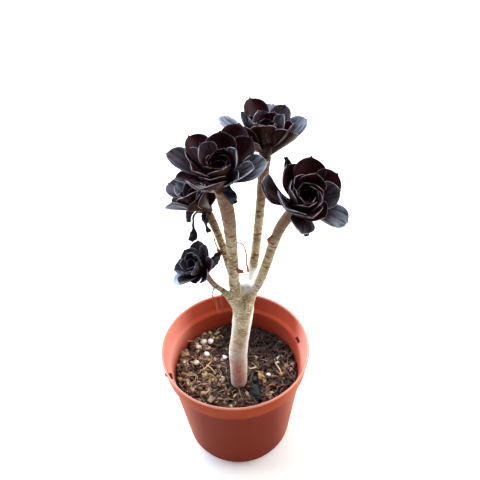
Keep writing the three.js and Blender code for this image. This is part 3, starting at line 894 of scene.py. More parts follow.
@dataclass
class PottingMix:
    """The mix: a lumpy bed covered with crumbs, clods, bark flakes and fibres.

    A size has its smallest and largest value, and its usual one where there are three.
    """

    bed_radius: float = 51.4
    bed_rings: int = 44
    bed_segments: int = 150
    edge: float = 0.5
    lump_size: float = 5.0
    crumbs: int = 1700
    crumb_size: tuple[float, float, float] = (0.5, 2.6, 0.9)
    clods: int = 60
    clod_size: tuple[float, float] = (1.8, 3.4)
    flakes: int = 620
    flake_length: tuple[float, float, float] = (2.0, 8.5, 3.2)
    fibres: int = 330
    fibre_length: tuple[float, float, float] = (4.0, 15.0, 7.0)
    fibre_half: tuple[float, float] = (0.14, 0.34)
    trunk_clearance: float = 7.6
    batch: int = 25
    seed: int = 20
    finish: LooseStuff = MIX_FINISH

    def build(self) -> None:
        """Builds the bed and scatters the loose stuff on it as one piece."""
        draw = random.Random(self.seed)
        bm, tone = toned_mesh()
        self.add_bed(bm, tone)
        batches = [
            (self.add_crumb, self.crumbs),
            (self.add_clod, self.clods),
            (self.add_flake, self.flakes),
            (self.add_fibre, self.fibres),
        ]
        for add_one, count in batches:
            for start in range(0, count, self.batch):
                part, tone = toned_mesh()
                for _ in range(min(self.batch, count - start)):
                    add_one(part, tone, draw)
                join_part(bm, part)
        self.keep_inside(bm)
        finish_piece(bm, "potting_mix", self.finish.material(), ["soil"])

    def keep_inside(self, bm: Mesh) -> None:
        """Pulls every point that lies past the bed's edge back to it, clear of the pot's wall.

        Args:
            bm: the piece's mesh.
        """
        limit = (self.bed_radius + self.edge) * MM
        for vert in bm.verts:
            radius = math.hypot(vert.co.x, vert.co.y)
            if radius > limit:
                vert.co.x *= limit / radius
                vert.co.y *= limit / radius

    def add_bed(self, bm: Mesh, tone: Any) -> None:
        """Spins a plug whose top is lumpy.

        Args:
            bm: the piece's mesh.
            tone: the layer that holds each point's tone.
        """
        rings = range(self.bed_rings, -1, -1)
        outline = [(0.0, 2.6), (39.0, 2.6), (42.8, 6.2), (self.bed_radius + self.edge, SOIL_LEVEL - 2.2)]
        outline += [(self.bed_radius * ring / self.bed_rings, SOIL_LEVEL) for ring in rings]
        spin_outline(bm, outline, self.bed_segments)
        for vert in bm.verts:
            vert[tone] = 0.12
            if vert.co.z > (SOIL_LEVEL - 0.1) * MM:
                x, y = vert.co.x / MM, vert.co.y / MM
                lumps = noise.turbulence(Vector((x, y, 3.0)) / self.lump_size, 3, False)
                vert.co.z = (soil_height(x, y) - 1.6 + 1.5 * lumps) * MM
                vert[tone] = 0.05 + 0.4 * lumps + 0.5 * self.paler(x, y)

    @staticmethod
    def paler(x: float, y: float) -> float:
        """Works out how the mix's tone shifts: lighter at the left, partly a lighter mix and partly painted
        light, and darker at the back in painted shade.

        Args:
            x: the place's x, in millimetres.
            y: its y.

        Returns:
            What is added to the tone there.
        """
        # Lighter at the left, partly painted light; painted shade at the back
        dry = 0.22 * smoothstep(-x, 6, 28) * smoothstep(y, -36, -14) - 0.08
        back_shade = 0.42 * smoothstep(y, 6, 30) * smoothstep(x, -22, -2)
        return dry - back_shade

    def spot(self, draw: random.Random) -> tuple[float, float]:
        """Draws a place on the mix that is clear of the trunk.

        Args:
            draw: the repeatable draw.

        Returns:
            The place's x and y, in millimetres.
        """
        while True:
            radius = (self.bed_radius - 1.5) * math.sqrt(draw.random())
            angle = 2 * math.pi * draw.random()
            x, y = radius * math.cos(angle), radius * math.sin(angle)
            if math.hypot(x - TRUNK_CENTRE[0], y - TRUNK_CENTRE[1]) > self.trunk_clearance:
                return x, y

    def add_crumb(self, bm: Mesh, tone: Any, draw: random.Random) -> None:
        """Drops one round crumb of peat or bark.

        Args:
            bm: the piece's mesh.
            tone: the layer that holds each point's tone.
            draw: the repeatable draw.
        """
        x, y = self.spot(draw)
        size = draw.triangular(*self.crumb_size)
        shape = [size * draw.uniform(low, high) for low, high in ((0.7, 1.4), (0.6, 1.0), (0.45, 0.9))]
        centre = Vector((x, y, soil_height(x, y) - 0.3 + draw.uniform(-0.4, 0.9))) * MM
        turn = Matrix.Rotation(draw.uniform(0, 6.3), 4, "Z")
        turn = turn @ Matrix.Rotation(draw.uniform(-0.7, 0.7), 4, "X")
        matrix = Matrix.Translation(centre) @ turn @ Matrix.Diagonal((*shape, 1)) @ Matrix.Scale(MM, 4)
        crumb = bmesh.ops.create_icosphere(bm, subdivisions=1, radius=1, matrix=matrix)["verts"]
        shade = draw.triangular(0.0, 1.0, 0.25) + self.paler(x, y)
        for vert in crumb:
            vert.co = centre + (vert.co - centre) * draw.uniform(0.72, 1.2)
            vert[tone] = shade

    def add_clod(self, bm: Mesh, tone: Any, draw: random.Random) -> None:
        """Drops one bigger ragged clod of stuck crumbs.

        Args:
            bm: the piece's mesh.
            tone: the layer that holds each point's tone.
            draw: the repeatable draw.
        """
        x, y = self.spot(draw)
        size = draw.uniform(*self.clod_size)
        place = Vector((x, y, soil_height(x, y) - 0.2 * size))
        shade = draw.uniform(0.0, 0.4) + self.paler(x, y)
        for vert in bmesh.ops.create_icosphere(bm, subdivisions=3, radius=1)["verts"]:
            bumps = noise.noise(vert.co * 1.7 + place) + 0.6 * noise.noise(vert.co * 4.5 + place)
            vert[tone] = shade + 0.3 * bumps
            vert.co = (place + vert.co * Vector((size, size, 0.7 * size)) * (1 + 0.45 * bumps)) * MM

    def add_flake(self, bm: Mesh, tone: Any, draw: random.Random) -> None:
        """Drops one thin flat bark flake at an odd angle.

        Args:
            bm: the piece's mesh.
            tone: the layer that holds each point's tone.
            draw: the repeatable draw.
        """
        x, y = self.spot(draw)
        length = draw.triangular(*self.flake_length)
        size = Matrix.Diagonal((length, length * draw.uniform(0.25, 0.6), draw.uniform(0.3, 0.9), 1))
        place = Vector((x, y, soil_height(x, y) + draw.uniform(0.0, 1.1)))
        turn = Matrix.Rotation(draw.uniform(0, 6.3), 4, "Z")
        turn = turn @ Matrix.Rotation(draw.uniform(-0.6, 0.6), 4, "X")
        turn = turn @ Matrix.Rotation(draw.uniform(-0.5, 0.5), 4, "Y")
        matrix = Matrix.Translation(place * MM) @ turn @ size @ Matrix.Scale(MM, 4)
        flake = bmesh.ops.create_cube(bm, size=1, matrix=matrix)["verts"]
        shade = draw.triangular(0.0, 1.15, 0.38) + self.paler(x, y)
        for vert in flake:
            vert.co += Vector([draw.uniform(-1, 1) for _ in range(3)]) * 0.09 * length * MM
            vert[tone] = shade

    def add_fibre(self, bm: Mesh, tone: Any, draw: random.Random) -> None:
        """Drops one thin bent coir fibre.

        Args:
            bm: the piece's mesh.
            tone: the layer that holds each point's tone.
            draw: the repeatable draw.
        """
        x, y = self.spot(draw)
        heading = draw.uniform(0, 2 * math.pi)
        length = draw.triangular(*self.fibre_length)
        bend = draw.uniform(-1.4, 1.4)
        rows = []
        for step in range(5):
            travel = length * (step / 4 - 0.5)
            angle = heading + bend * step / 4
            px, py = x + travel * math.cos(angle), y + travel * math.sin(angle)
            if math.hypot(px, py) > self.bed_radius - 1:
                px, py = x, y
            rows.append((px, py, soil_height(px, py) + 0.9 + draw.uniform(-0.3, 0.9) + 0.01 * step))
        half = draw.uniform(*self.fibre_half)
        shade = draw.uniform(0.5, 1.0) + self.paler(x, y)
        mark(Shoot(4, 6, UPRIGHT).add(bm, line(*((*row, half) for row in rows))), tone, shade)


@dataclass(frozen=True)
class LoosePiece:
    """One piece lying on the mix: where it lies, its size and its turn in degrees."""

    node: str
    x: float
    y: float
    length: float
    width: float
    height: float
    turn: float


PERLITE = (
    LoosePiece("perlite_01", -28.4, 31, 6, 5, 3.8, 20),
    LoosePiece("perlite_02", -22.2, 29.6, 5.6, 4.6, 3.6, 80),
    LoosePiece("perlite_03", -25.7, 17.2, 5.4, 4.8, 3.6, 130),
    LoosePiece("perlite_04", -33, 24.6, 4.6, 4, 3, 10),
    LoosePiece("perlite_05", -10.6, 13.2, 5.4, 4.2, 3.2, 5),
    LoosePiece("perlite_06", -34.1, 7.9, 5, 4, 3, 50),
    LoosePiece("perlite_07", -44.4, 9, 2.8, 2.6, 2.2, 0),
    LoosePiece("perlite_08", 26.8, -7.6, 4, 3.4, 2.8, 0),
    LoosePiece("perlite_09", 35.6, 6, 2.8, 2.4, 2.2, 0),
)
CHIPS = (
    LoosePiece("pale_chip_01", 20.7, -9, 13, 5, 1.6, 116),
    LoosePiece("pale_chip_02", -11.6, -11, 7, 3.2, 1.3, 80),
    LoosePiece("pale_chip_03", -22.1, -9.4, 9, 3, 1.3, 150),
    LoosePiece("pale_chip_04", -36.5, 29.4, 8, 2.6, 1.3, 175),
)
FALLEN_LEAF = LoosePiece("fallen_leaf", 15.5, -24.4, 16, 12, 4, 95)


@dataclass
class LooseOnes:
    """The white grains, pale chips and dead leaf that lie on the mix."""

    seed: int = 5
    small_grains: int = 2
    leaf_lobe: LoosePiece = LoosePiece("", 15.7, -12, 7.5, 5.5, 3.4, 70)

    def build(self) -> None:
        """Builds the three kinds as one piece each."""
        self.build_perlite()
        self.build_chips()
        self.build_leaf()

    def build_perlite(self) -> None:
        """Builds the knobbly white grains, with smaller ones scattered about."""
        draw = random.Random(self.seed)
        bm, tone = toned_mesh()
        grains = list(PERLITE)
        for grain in PERLITE:
            for _ in range(self.small_grains):
                reach, angle = draw.uniform(2.0, 4.6), draw.uniform(0, 2 * math.pi)
                size = draw.uniform(0.7, 1.5)
                x, y = grain.x + reach * math.cos(angle), grain.y + reach * math.sin(angle)
                grains.append(LoosePiece("", x, y, size, size, size, 0))
        for grain in grains:
            self.add_lump(bm, tone, grain, 3, 0.3, draw.uniform(0.3, 1.0))
        nodes = [grain.node for grain in PERLITE]
        finish_piece(bm, "perlite", PERLITE_FINISH.material(), nodes)

    def build_chips(self) -> None:
        """Builds the pale bark chips."""
        bm, tone = toned_mesh()
        for index, chip in enumerate(CHIPS):
            self.add_lump(bm, tone, chip, 3, 0.22, 0.5 + 0.12 * index)
        nodes = [chip.node for chip in CHIPS]
        finish_piece(bm, "pale_chips", CHIP_FINISH.material(), nodes)

    def build_leaf(self) -> None:
        """Builds the fallen leaf, creased, with its smaller lobe."""
        bm, tone = toned_mesh()
        self.add_lump(bm, tone, FALLEN_LEAF, 4, 0.3, 0.2)
        self.add_lump(bm, tone, self.leaf_lobe, 3, 0.35, 0.2)
        finish_piece(bm, "fallen_dead_leaf", DriedLeaf().material(), [FALLEN_LEAF.node])

    @staticmethod
    def add_lump(bm: Mesh, tone: Any, piece: LoosePiece, detail: int, rough: float, shade: float) -> None:
        """Adds one rough lump that lies on the mix.

        Args:
            bm: the piece's mesh.
            tone: the layer that holds each point's tone.
            piece: where the lump lies and its size.
            detail: how finely the lump is divided.
            rough: how far its surface is pushed in and out, as a share of its size.
            shade: its tone.
        """
        place = Vector((piece.x, piece.y, soil_height(piece.x, piece.y) + 0.35 * piece.height))
        size = Vector((piece.length, piece.width, piece.height))
        turn = Matrix.Rotation(math.radians(piece.turn), 3, "Z")
        for vert in bmesh.ops.create_icosphere(bm, subdivisions=detail, radius=0.5)["verts"]:
            bumps = noise.noise(vert.co * 5 + place) + 0.5 * noise.noise(vert.co * 11 + place)
            vert.co *= 1 + rough * bumps
            vert.co = (place + turn @ (vert.co * size)) * MM
            vert[tone] = shade


@dataclass
class Litter:
    """The pale twigs and curled strips of bark that lie on the mix."""

    twigs: tuple[Line, ...] = (
        line((-45.6, 31, 79.4, 1.1), (-44, 31, 79.4, 0.5), (-38, 31, 79, 0.45)),
        line((-25.4, 5, 78.6, 0.5), (-21, -1, 80, 0.5), (-17.5, -6, 79, 0.35)),
        line((-31, -2, 78.6, 0.4), (-26, 1, 79.6, 0.5), (-22, 7, 79, 0.4)),
        line((33, 4, 78.4, 0.4), (36, -3, 79.4, 0.5), (38, -10, 78.6, 0.4)),
    )
    strips: tuple[Line, ...] = (
        line(
            (-27.5, -9.8, 78.4, 0.6), (-23.6, -7, 80, 1.4), (-18.4, -9.8, 79.6, 1.1),
            (-17, -13, 78.4, 0.5),
        ),
        line((-13.4, -8, 78.6, 0.5), (-11.4, -11.4, 80.2, 1.3), (-12, -15, 78.6, 0.6)),
        line((-31, 12, 78.4, 0.6), (-28, 9.4, 79.8, 1.2), (-24, 10.6, 78.6, 0.6)),
        line((24, -22, 78.2, 0.6), (28, -19.4, 79.6, 1.3), (33, -20.6, 78.4, 0.6)),
        line((16.6, -4, 78.6, 0.6), (19.6, -8, 81.4, 1.6), (19, -13, 79.4, 0.9)),
    )
    round_shoot: Shoot = Shoot(10, 18, UPRIGHT, 1.0, 0.3)
    flat_shoot: Shoot = Shoot(10, 18, UPRIGHT, 0.3, 0.3)

    def build(self) -> None:
        """Builds the twigs and strips as one piece."""
        bm, tone = toned_mesh()
        for index, stations in enumerate((*self.twigs, *self.strips)):
            shoot = self.round_shoot if index < len(self.twigs) else self.flat_shoot
            mark(shoot.add(bm, stations), tone, 0.75 + 0.05 * (index % 4))
        finish_piece(bm, "pale_litter", CHIP_FINISH.material())


# The stem


@dataclass
class Stem:
    """The short trunk that forks into five branches, fused by a remesh and dressed with bark."""

    voxel: float = 0.75
    smoothings: int = 4
    sides: int = 20
    rough: float = 0.35
    steps: int = 120
    finish: Bark = Bark()
    trunk: Line = line(
        (1.8, -11.5, 42, 6.9), (1.8, -11.5, 80, 6.8), (1.5, -12.6, 98, 7.1), (1.2, -15, 118, 7.3),
        (3, -17.4, 142.9, 7), (4.8, -18.3, 166, 7.5), (4.8, -18, 179, 7.8), (5.2, -17.6, 187, 3),
    )
    # The front, top, right and left branches, the saddle between the first three, and the low branch
    branches: tuple[Line, ...] = (
        line(
            (2.2, -18.5, 172, 5.2), (-1.3, -20.5, 199, 4), (-2, -23, 220.9, 3.7), (-3, -26, 242.5, 3.9),
            (-4.6, -29, 265, 4.4), (-8, -31.6, 287.4, 4.7),
        ),
        line(
            (6, -15, 172, 5.2), (10, -10, 193, 3.7), (13.4, -4, 213, 3.2), (15.8, 1, 241.7, 3.2),
            (16.9, 4, 260.2, 3.4), (18.8, 6.6, 284.8, 3.9),
        ),
        line(
            (6.2, -18, 172, 5.4), (11.8, -18, 189, 3.9), (16.5, -18, 199.5, 3.5),
            (20.9, -17.3, 215.4, 3.4), (25.2, -17, 234.1, 3.5), (30.2, -16.5, 248.4, 3.8),
            (36.6, -16.4, 258.9, 4),
        ),
        line(
            (-0.4, -19, 190, 3.2), (-3.6, -15, 205, 2.9), (-9.6, -8, 222.9, 2.6),
            (-14.6, -4, 237.1, 2.8), (-18.1, -1.8, 245.2, 3),
        ),
        line((0, -18.6, 180, 4), (4, -17.4, 190, 4.2), (9, -15.4, 191, 4), (13, -15, 189, 3)),
        line(
            (0.6, -18, 172, 3.4), (-8, -20.6, 190, 2.2), (-15.2, -22, 199, 2),
            (-20.5, -23.6, 210.4, 2.2),
        ),
    )

    def build(self) -> None:
        """Builds the fused stem and its bark."""
        bm = bmesh.new()
        for stations in (self.trunk, *self.branches):
            Shoot(self.sides, 10 * len(stations), rough=self.rough).add(bm, stations)
        material = self.finish.material()
        stem = finish_piece(bm, "forked_stem", material, ["stem"])
        remesh = stem.modifiers.new("fused", "REMESH")
        remesh.mode = "VOXEL"
        remesh.voxel_size = self.voxel * MM
        smooth = stem.modifiers.new("eased", "SMOOTH")
        smooth.iterations = self.smoothings
        smooth.factor = 0.5
        mesh = settled(stem)
        mesh.materials.clear()
        mesh.materials.append(material)
        mesh.shade_smooth()
        self.straighten(mesh)
        log.info("forked_stem: %d faces after the remesh", len(mesh.polygons))

    def samples(self) -> list[tuple[Vector, Vector, float, float]]:
        """Walks along the trunk and the branches.

        Returns:
            Places in millimetres, with the line's direction, the distance walked and the share of the branch.
        """
        found = []
        for index, stations in enumerate((self.trunk, *self.branches)):
            points = [station.at for station in stations]
            travelled, previous = 300.0 * index, None
            for step in range(self.steps + 1):
                share = step / self.steps
                centre, tangent = spline(points, share)
                centre = PLANT_POSE @ centre
                travelled += (centre - previous).length if previous else 0.0
                previous = centre
                found.append((centre, tangent, travelled, share if index else 0.0))
        return found

    def straighten(self, mesh: bpy.types.Mesh) -> None:
        """Keeps each point's place on a straightened stem, so that the bark's pattern runs across it.

        Args:
            mesh: the stem's finished mesh.
        """
        samples = self.samples()
        tree = kdtree.KDTree(len(samples))
        for index, (centre, _, _, _) in enumerate(samples):
            tree.insert(centre * MM, index)
        tree.balance()
        grown: list[float] = []
        ages: list[float] = []
        for vertex in mesh.vertices:
            centre, tangent, travelled, share = samples[tree.find(vertex.co)[1]]
            out = vertex.co - centre * MM
            side = Vector((0, 1, 0)).cross(tangent).normalized()
            depth = tangent.cross(side)
            grown += [out.dot(side), out.dot(depth), travelled * MM + out.dot(tangent)]
            ages.append(share)
        mesh.attributes.new("grown", "FLOAT_VECTOR", "POINT").data.foreach_set("vector", grown)
        mesh.attributes.new("age", "FLOAT", "POINT").data.foreach_set("value", ages)


# The rosettes


@dataclass(frozen=True)
class Leaf:
    """One leaf: its angles in degrees, its sizes in millimetres, its shares of pale wax with painted sheen
    and of pale rim.
    """

    azimuth: float
    opening: float
    length: float
    width: float
    curl: float
    twist: float
    rise: float
    bloom_and_sheen: float = 0.0
    rim: float = 0.4
    tilt: float = 12.0


def whorl(*rows: tuple[float, ...]) -> tuple[Leaf, ...]:
    """Turns rows of a leaf's measures, in the order of its fields, into leaves."""
    return tuple(Leaf(*row) for row in rows)


@dataclass(frozen=True)
class Ring:
    """Like leaves set evenly round the heart of a rosette."""

    count: int
    start: float
    leaf: Leaf

    def leaves(self) -> list[Leaf]:
        """Returns the ring's leaves."""
        step = 360 / self.count
        return [replace(self.leaf, azimuth=self.start + step * index) for index in range(self.count)]


@dataclass
class Rosette:
    """A rosette of spoon-shaped leaves on a stalk tip."""

    name: str
    foot: tuple[float, float, float]
    axis: tuple[float, float, float]
    spread: float
    core: float
    leaves: tuple[Leaf, ...]
    rings: tuple[Ring, ...]
    sides: int = 24
    rows: int = 22
    cup: float = 0.42
    thickness: float = 0.12
    point_width: float = 0.11
    wave: float = 0.35

    def build(self, material: bpy.types.Material) -> None:
        """Builds the rosette as one piece.

        Args:
            material: the leaves' material.
        """
        bm = bmesh.new()
        blade = bm.verts.layers.float_color.new("blade")
        streak = bm.verts.layers.float_vector.new("streak")
        self.add_core(bm, blade)
        for leaf in (*self.leaves, *(leaf for ring in self.rings for leaf in ring.leaves())):
            self.add_leaf(bm, blade, streak, leaf)
        finish_piece(bm, f"{self.name}_leaves", material, [self.name])

    def frame_axes(self) -> tuple[Vector, Vector, Vector]:
        """Works out the rosette's own directions.

        Returns:
            Up along its axis, across and behind.
        """
        up = Vector(self.axis).normalized()
        across = (Vector((1, 0, 0)) - up * up.x).normalized()
        return up, across, up.cross(across)

    def outline(self, share: float) -> float:
        """Draws a leaf's outline, widest past the middle and with a short point.

        Args:
            share: the place along the leaf, from 0 to 1.

        Returns:
            Half the width there, as a share of the greatest half width.
        """
        body = 0.3 + 0.7 * smoothstep(share, 0, 0.7)
        tip = min(1.0, max(0.0, (share - 0.68) / 0.28))
        rounded = body * (1 - tip**2.3) ** 0.55
        point = self.point_width * (1 - share) / 0.05
        return max(rounded, min(self.point_width, point))

    def add_leaf(self, bm: Mesh, blade: Any, streak: Any, leaf: Leaf) -> None:
        """Adds one leaf, whose midrib is an arc that leaves the axis at the opening angle.

        Args:
            bm: the rosette's mesh.
            blade: the layer that holds edge distance, facing, bloom and share of length.
            streak: the layer that holds the place on the flattened leaf, drawn out along it.
            leaf: the leaf's measures.
        """
        up, across, behind = self.frame_axes()
        turn = math.radians(leaf.azimuth)
        outward = across * math.cos(turn) + behind * math.sin(turn)
        sideways = up.cross(outward)
        lean = math.radians(leaf.opening)
        bend = math.radians(leaf.curl if abs(leaf.curl) > 0.5 else 0.5)
        start = lean + bend / 2
        foot = Vector(self.foot)
        seed = Vector((leaf.azimuth, leaf.opening, leaf.length))
        held: list[Any] = []

        def place(angle: float, row: float) -> Vector:
            """Places a point of the leaf, and notes what its layers hold.

            Args:
                angle: how far it is round the leaf, in radians.
                row: its row, from 0 at the foot to 1 at the tip.

            Returns:
                The place in metres.
            """
            share = 1 - (1 - row) ** 1.6
            slope = lean + bend * (0.5 - share)
            reach = leaf.length * (math.cos(slope) - math.cos(start)) / bend
            climb = leaf.length * (math.sin(start) - math.sin(slope)) / bend
            face = up * math.sin(slope) - outward * math.cos(slope)
            roll = math.radians(leaf.tilt + leaf.twist * share)
            across_blade = sideways * math.cos(roll) + face * math.sin(roll)
            normal = face * math.cos(roll) - sideways * math.sin(roll)
            half = leaf.width / 2 * self.outline(share)
            v = math.cos(angle)
            thick = leaf.width / 2 * self.thickness * (1 - 0.5 * share)
            body = math.copysign(abs(math.sin(angle)) ** 0.8, math.sin(angle))
            ripple = noise.noise(seed + Vector((v * 1.4, share * 3.0, 0))) * smoothstep(share, 0.3, 0.9)
            lift = self.cup * half * v * v + thick * body * min(1.0, half / 2.5) + self.wave * ripple
            edge = min(half * (1 - abs(v)), (1 - share) * leaf.length * 1.1)
            held[:] = [
                (edge / leaf.rim, 0.5 + 0.5 * math.sin(angle), leaf.bloom_and_sheen, share),
                Vector((half * v / 1.1, leaf.length * share / 5.0, leaf.azimuth + leaf.opening)),
            ]
            spot = foot + up * (leaf.rise + climb) + outward * (self.spread + reach)
            return (PLANT_POSE @ (spot + across_blade * (half * v) + normal * lift)) * MM

        def dress(vert: bmesh.types.BMVert) -> None:
            """Gives the point what was noted for it."""
            vert[blade], vert[streak] = held

        roll_skin(bm, self.sides, self.rows, place, dress)

    def add_core(self, bm: Mesh, blade: Any) -> None:
        """Adds the short fat stalk tip that the leaves grow from.

        Args:
            bm: the rosette's mesh.
            blade: the layer that holds edge distance, facing, bloom and share of length.
        """
        up, _, _ = self.frame_axes()
        outline = [(0, -1), (0.75, -1), (1.35, 0.9), (1.3, 1.6), (0.7, 2.2), (0, 2.4)]
        points = [Vector((radius * self.core, 0, level * self.core)) for radius, level in outline]
        turn = up.to_track_quat("Z", "Y").to_matrix().to_4x4()

        def place(angle: float, row: float) -> Vector:
            """Places a point of the stalk tip.

            Args:
                angle: how far it is round the tip, in radians.
                row: how far it is up the tip, from 0 to 1.

            Returns:
                The place in metres.
            """
            point, _ = spline(points, row)
            around = Matrix.Rotation(angle, 4, "Z") @ Vector((max(point.x, 0.0), 0, point.z))
            return (PLANT_POSE @ (Vector(self.foot) + turn @ around)) * MM

        mark(roll_skin(bm, 20, 15, place), blade, (9.0, 0.3, 0.0, 0.0))


# Each leaf's row: azimuth, opening, length, width, curl, twist, rise, then bloom, rim and tilt if its own
ROSETTES = (
    Rosette(
        "rosette_front",
        (-9.1, -32, 291.4),
        (-0.05, -0.26, 0.96),
        3,
        5,
        whorl(
            (130, 54, 30, 18, 10, 0, 1), (158, 66, 33.5, 18, 20, 0, 0, 0.25, 0.8),
            (66, 55, 33.5, 17, 8, 0, 1, 0, 0.7), (41, 53, 29, 16, 15, 0, 1.5),
            (2, 59, 30, 16, 20, 0, 0, 0.6, 1), (242, 40, 26, 24, 8, -10, -4, 0, 0.7, 25),
            (348, 50, 24, 13, 10, -20, 1, 0.25, 1.1), (150, 50, 25, 13, 15, 0, 1, 0.14, 0.9),
            (85, 38, 26, 18, 15, 0, 3, 0, 0.6), (318, 40, 20, 12, 10, 0, 0, 0.2, 0.8),
            (255, 32, 21, 15, 15, 0, 1), (134, 29, 22, 16, 25, 0, 4, 0.12, 0.8),
            (208, 35, 22, 17, 25, 0, 2, 0, 0.8), (285, 22, 20, 15, 35, 0, 4),
            (12, 20, 24, 13, 50, 0, 4, 0.22, 0.8), (62, 18, 18, 14, 30, 0, 4, 0, 0.2),
            (176, 84, 24, 12, -10, 0, 0, 0, 0.6),
        ),
        (
            Ring(5, 100, Leaf(0, 14, 15, 12, 30, 0, 5, 0, 0.25)),
            Ring(3, 60, Leaf(0, 6, 10, 8, 20, 0, 6, 0, 0.2)),
        ),
    ),
    Rosette(
        "rosette_top",
        (18.8, 7, 288.8),
        (0, 0.03, 1),
        3,
        4.4,
        whorl(
            (166, 58, 35, 20, 15, 0, 0, 1.3, 0.6), (116, 40, 32, 19, 10, 0, 2),
            (79, 57, 33, 19, 10, 0, 0, 0.8), (58, 45, 30, 14, 10, 0, 1, 0.1),
            (16, 53, 31, 16, 20, 0, 0, 0.65), (333, 38, 24.5, 17, 5, 0, -2, 0, 0.8, -50),
            (225, 55, 26, 16, 15, 0, 0), (140, 44, 26, 16, 20, 0, 2, 1, 0.8),
            (256, 17, 20, 16, 20, 0, 3, 0, 0.6), (200, 38, 25, 16, 20, 0, 2),
            (345, 36, 24, 15, 25, 0, 2), (120, 20, 21, 16, 25, 0, 4, 0.1, 0.8),
            (60, 24, 20, 18, 25, 0, 4, 0, 0.6), (14, 22, 22, 13, 40, 0, 4, 0.25, 1),
            (322, 10, 17, 13, 35, 0, 4, 0, 0.6), (225, 16, 19, 16, 35, 0, 4, 0, 0.6),
            (170, 24, 21, 15, 30, 0, 4, 0.15),
        ),
        (
            Ring(4, 100, Leaf(0, 11, 15, 12, 30, 0, 5, 0, 0.4)),
            Ring(3, 60, Leaf(0, 5, 11, 8, 20, 0, 6, 0, 0.2)),
        ),
    ),
    Rosette(
        "rosette_right",
        (38.8, -17, 262.5),
        (0.203, -0.475, 0.856),
        3,
        4.7,
        whorl(
            (166, 55, 34, 19, 95, 0, 0, 0, 0.8), (339, 76, 31.5, 15, -45, 0, 0, 0.8, 0.5),
            (268, 66, 21, 17, 5, -35, 0, 0.25, 1), (123, 46, 27, 21, 15, 0, 1, 0, 0.7),
            (82, 49, 30.5, 22, 10, 0, 1), (38, 56, 30, 19, 10, 0, 1),
            (10, 45, 27, 17, 15, 0, 2, 0.2, 0.9), (275, 33, 26, 20, 10, 0, 1, 0, 0.9),
            (218, 38, 24, 23, 15, 0, 1, 0.15, 1), (312, 42, 23, 17, 10, 0, 1),
            (178, 24, 22, 16, 30, 0, 4, 0.1, 1), (66, 27, 23, 18, 30, 0, 4, 0, 0.6),
            (10, 20, 20, 15, 30, 0, 4), (330, 22, 20, 15, 30, 0, 4, 0.1, 0.8),
            (270, 20, 19, 16, 30, 0, 4, 0, 0.8), (135, 24, 22, 16, 30, 0, 4, 0, 0.6),
        ),
        (
            Ring(4, 110, Leaf(0, 13, 17, 13, 30, 0, 5, 0, 0.4)),
            Ring(3, 60, Leaf(0, 6, 12, 9, 20, 0, 6, 0, 0.2)),
        ),
    ),
    Rosette(
        "rosette_left",
        (-19.7, -1, 249),
        (-0.5, -0.15, 0.85),
        2.5,
        3.8,
        whorl(
            (165, 75, 30, 14, 0, 25, 0, 0.18, 0.9), (136, 61, 33, 17, 10, 0, 0, 0.2, 0.6),
            (132, 48, 25, 14, 15, 0, 1, 0.35, 1), (258, 14, 23, 19, 20, 0, 1, 0, 0.7),
            (330, 30, 24, 16, 10, 0, 0), (95, 45, 25, 15, 10, 0, 0, 0.2), (50, 50, 24, 15, 10, 0, 0),
            (10, 50, 22, 15, 10, 0, 0), (205, 30, 24, 15, 15, 0, 1, 0.1, 0.7),
            (292, 26, 22, 16, 10, 0, 0, 0, 0.3),
        ),
        (
            Ring(5, 190, Leaf(0, 18, 19, 13, 30, 0, 3, 0.05, 0.6)),
            Ring(3, 140, Leaf(0, 7, 13, 9, 20, 0, 5, 0, 0.3)),
        ),
    ),
    Rosette(
        "rosette_low",
        (-22, -24, 213.2),
        (-0.56, -0.305, 0.77),
        2,
        3.2,
        whorl(
            (201, 69, 21, 13, 0, 0, 0, 2.6, 0.6), (168, 50, 18.5, 14, 10, 0, 0, 0.3),
            (72, 48, 21, 13, 10, 0, 0, 0.15), (50, 50, 19, 9, 10, 0, 0, 0.2),
            (115, 38, 18, 13, 12, 0, 1, 0.25, 0.8), (262, 56, 11, 10, 5, 0, 0),
            (310, 58, 15, 11, 5, 0, 0, 0.3), (0, 55, 16, 11, 10, 0, 0, 0.2),
            (232, 44, 19, 13, 10, 0, 0, 0.2), (190, 34, 19, 13, 10, 0, 1, 0.3),
        ),
        (
            Ring(5, 100, Leaf(0, 22, 15, 10, 30, 0, 3, 0.15, 0.5)),
            Ring(3, 136, Leaf(0, 8, 11, 8, 25, 0, 4, 0.1, 0.3)),
        ),
    ),
)


# Withered leaves, aerial roots and flakes


@dataclass
class WitheredBits:
    """The shrivelled leaves that hang below the rosettes."""

    strips: tuple[Line, ...] = (
        line((-6.4, -34, 290, 3), (-2.8, -36.8, 285.4, 3.6), (-0.6, -37.4, 280.4, 2.4)),
        line((40.6, -20, 260, 3), (44, -25, 254, 3.6), (44.6, -27, 246.5, 1.6)),
        line((38.6, -12, 266, 3), (34.6, -2, 278, 3.4), (31.2, 1, 287.6, 1.4)),
        line((-20.6, -4, 250, 2.4), (-26, -7, 254, 2.4), (-30.2, -8, 251, 2.6), (-31.2, -8.4, 243.5, 1.6)),
        line(
            (-20, -4, 249, 2), (-26.8, -8, 249.6, 0.8), (-28.4, -8.4, 240, 0.8),
            (-28.4, -8.6, 232.4, 2.6), (-30.6, -8.6, 227, 2),
        ),
        line((-18.6, -4, 248, 2), (-20.4, -7.6, 246, 2.6), (-19.6, -8, 240, 1), (-18, -8, 234, 1.8)),
        line(
            (-21.4, -23.6, 214, 1.6), (-16.4, -24.6, 219, 3), (-12, -25, 228, 2.6),
            (-9.4, -24.6, 231, 1),
        ),
    )
    shoot: Shoot = Shoot(14, 30, flatness=0.3, rough=0.9)

    def build(self) -> None:
        """Builds all the strips as one piece."""
        bm = bmesh.new()
        for strip in self.strips:
            self.shoot.add(bm, strip)
        finish_piece(bm, "withered_leaves", DriedLeaf().material())


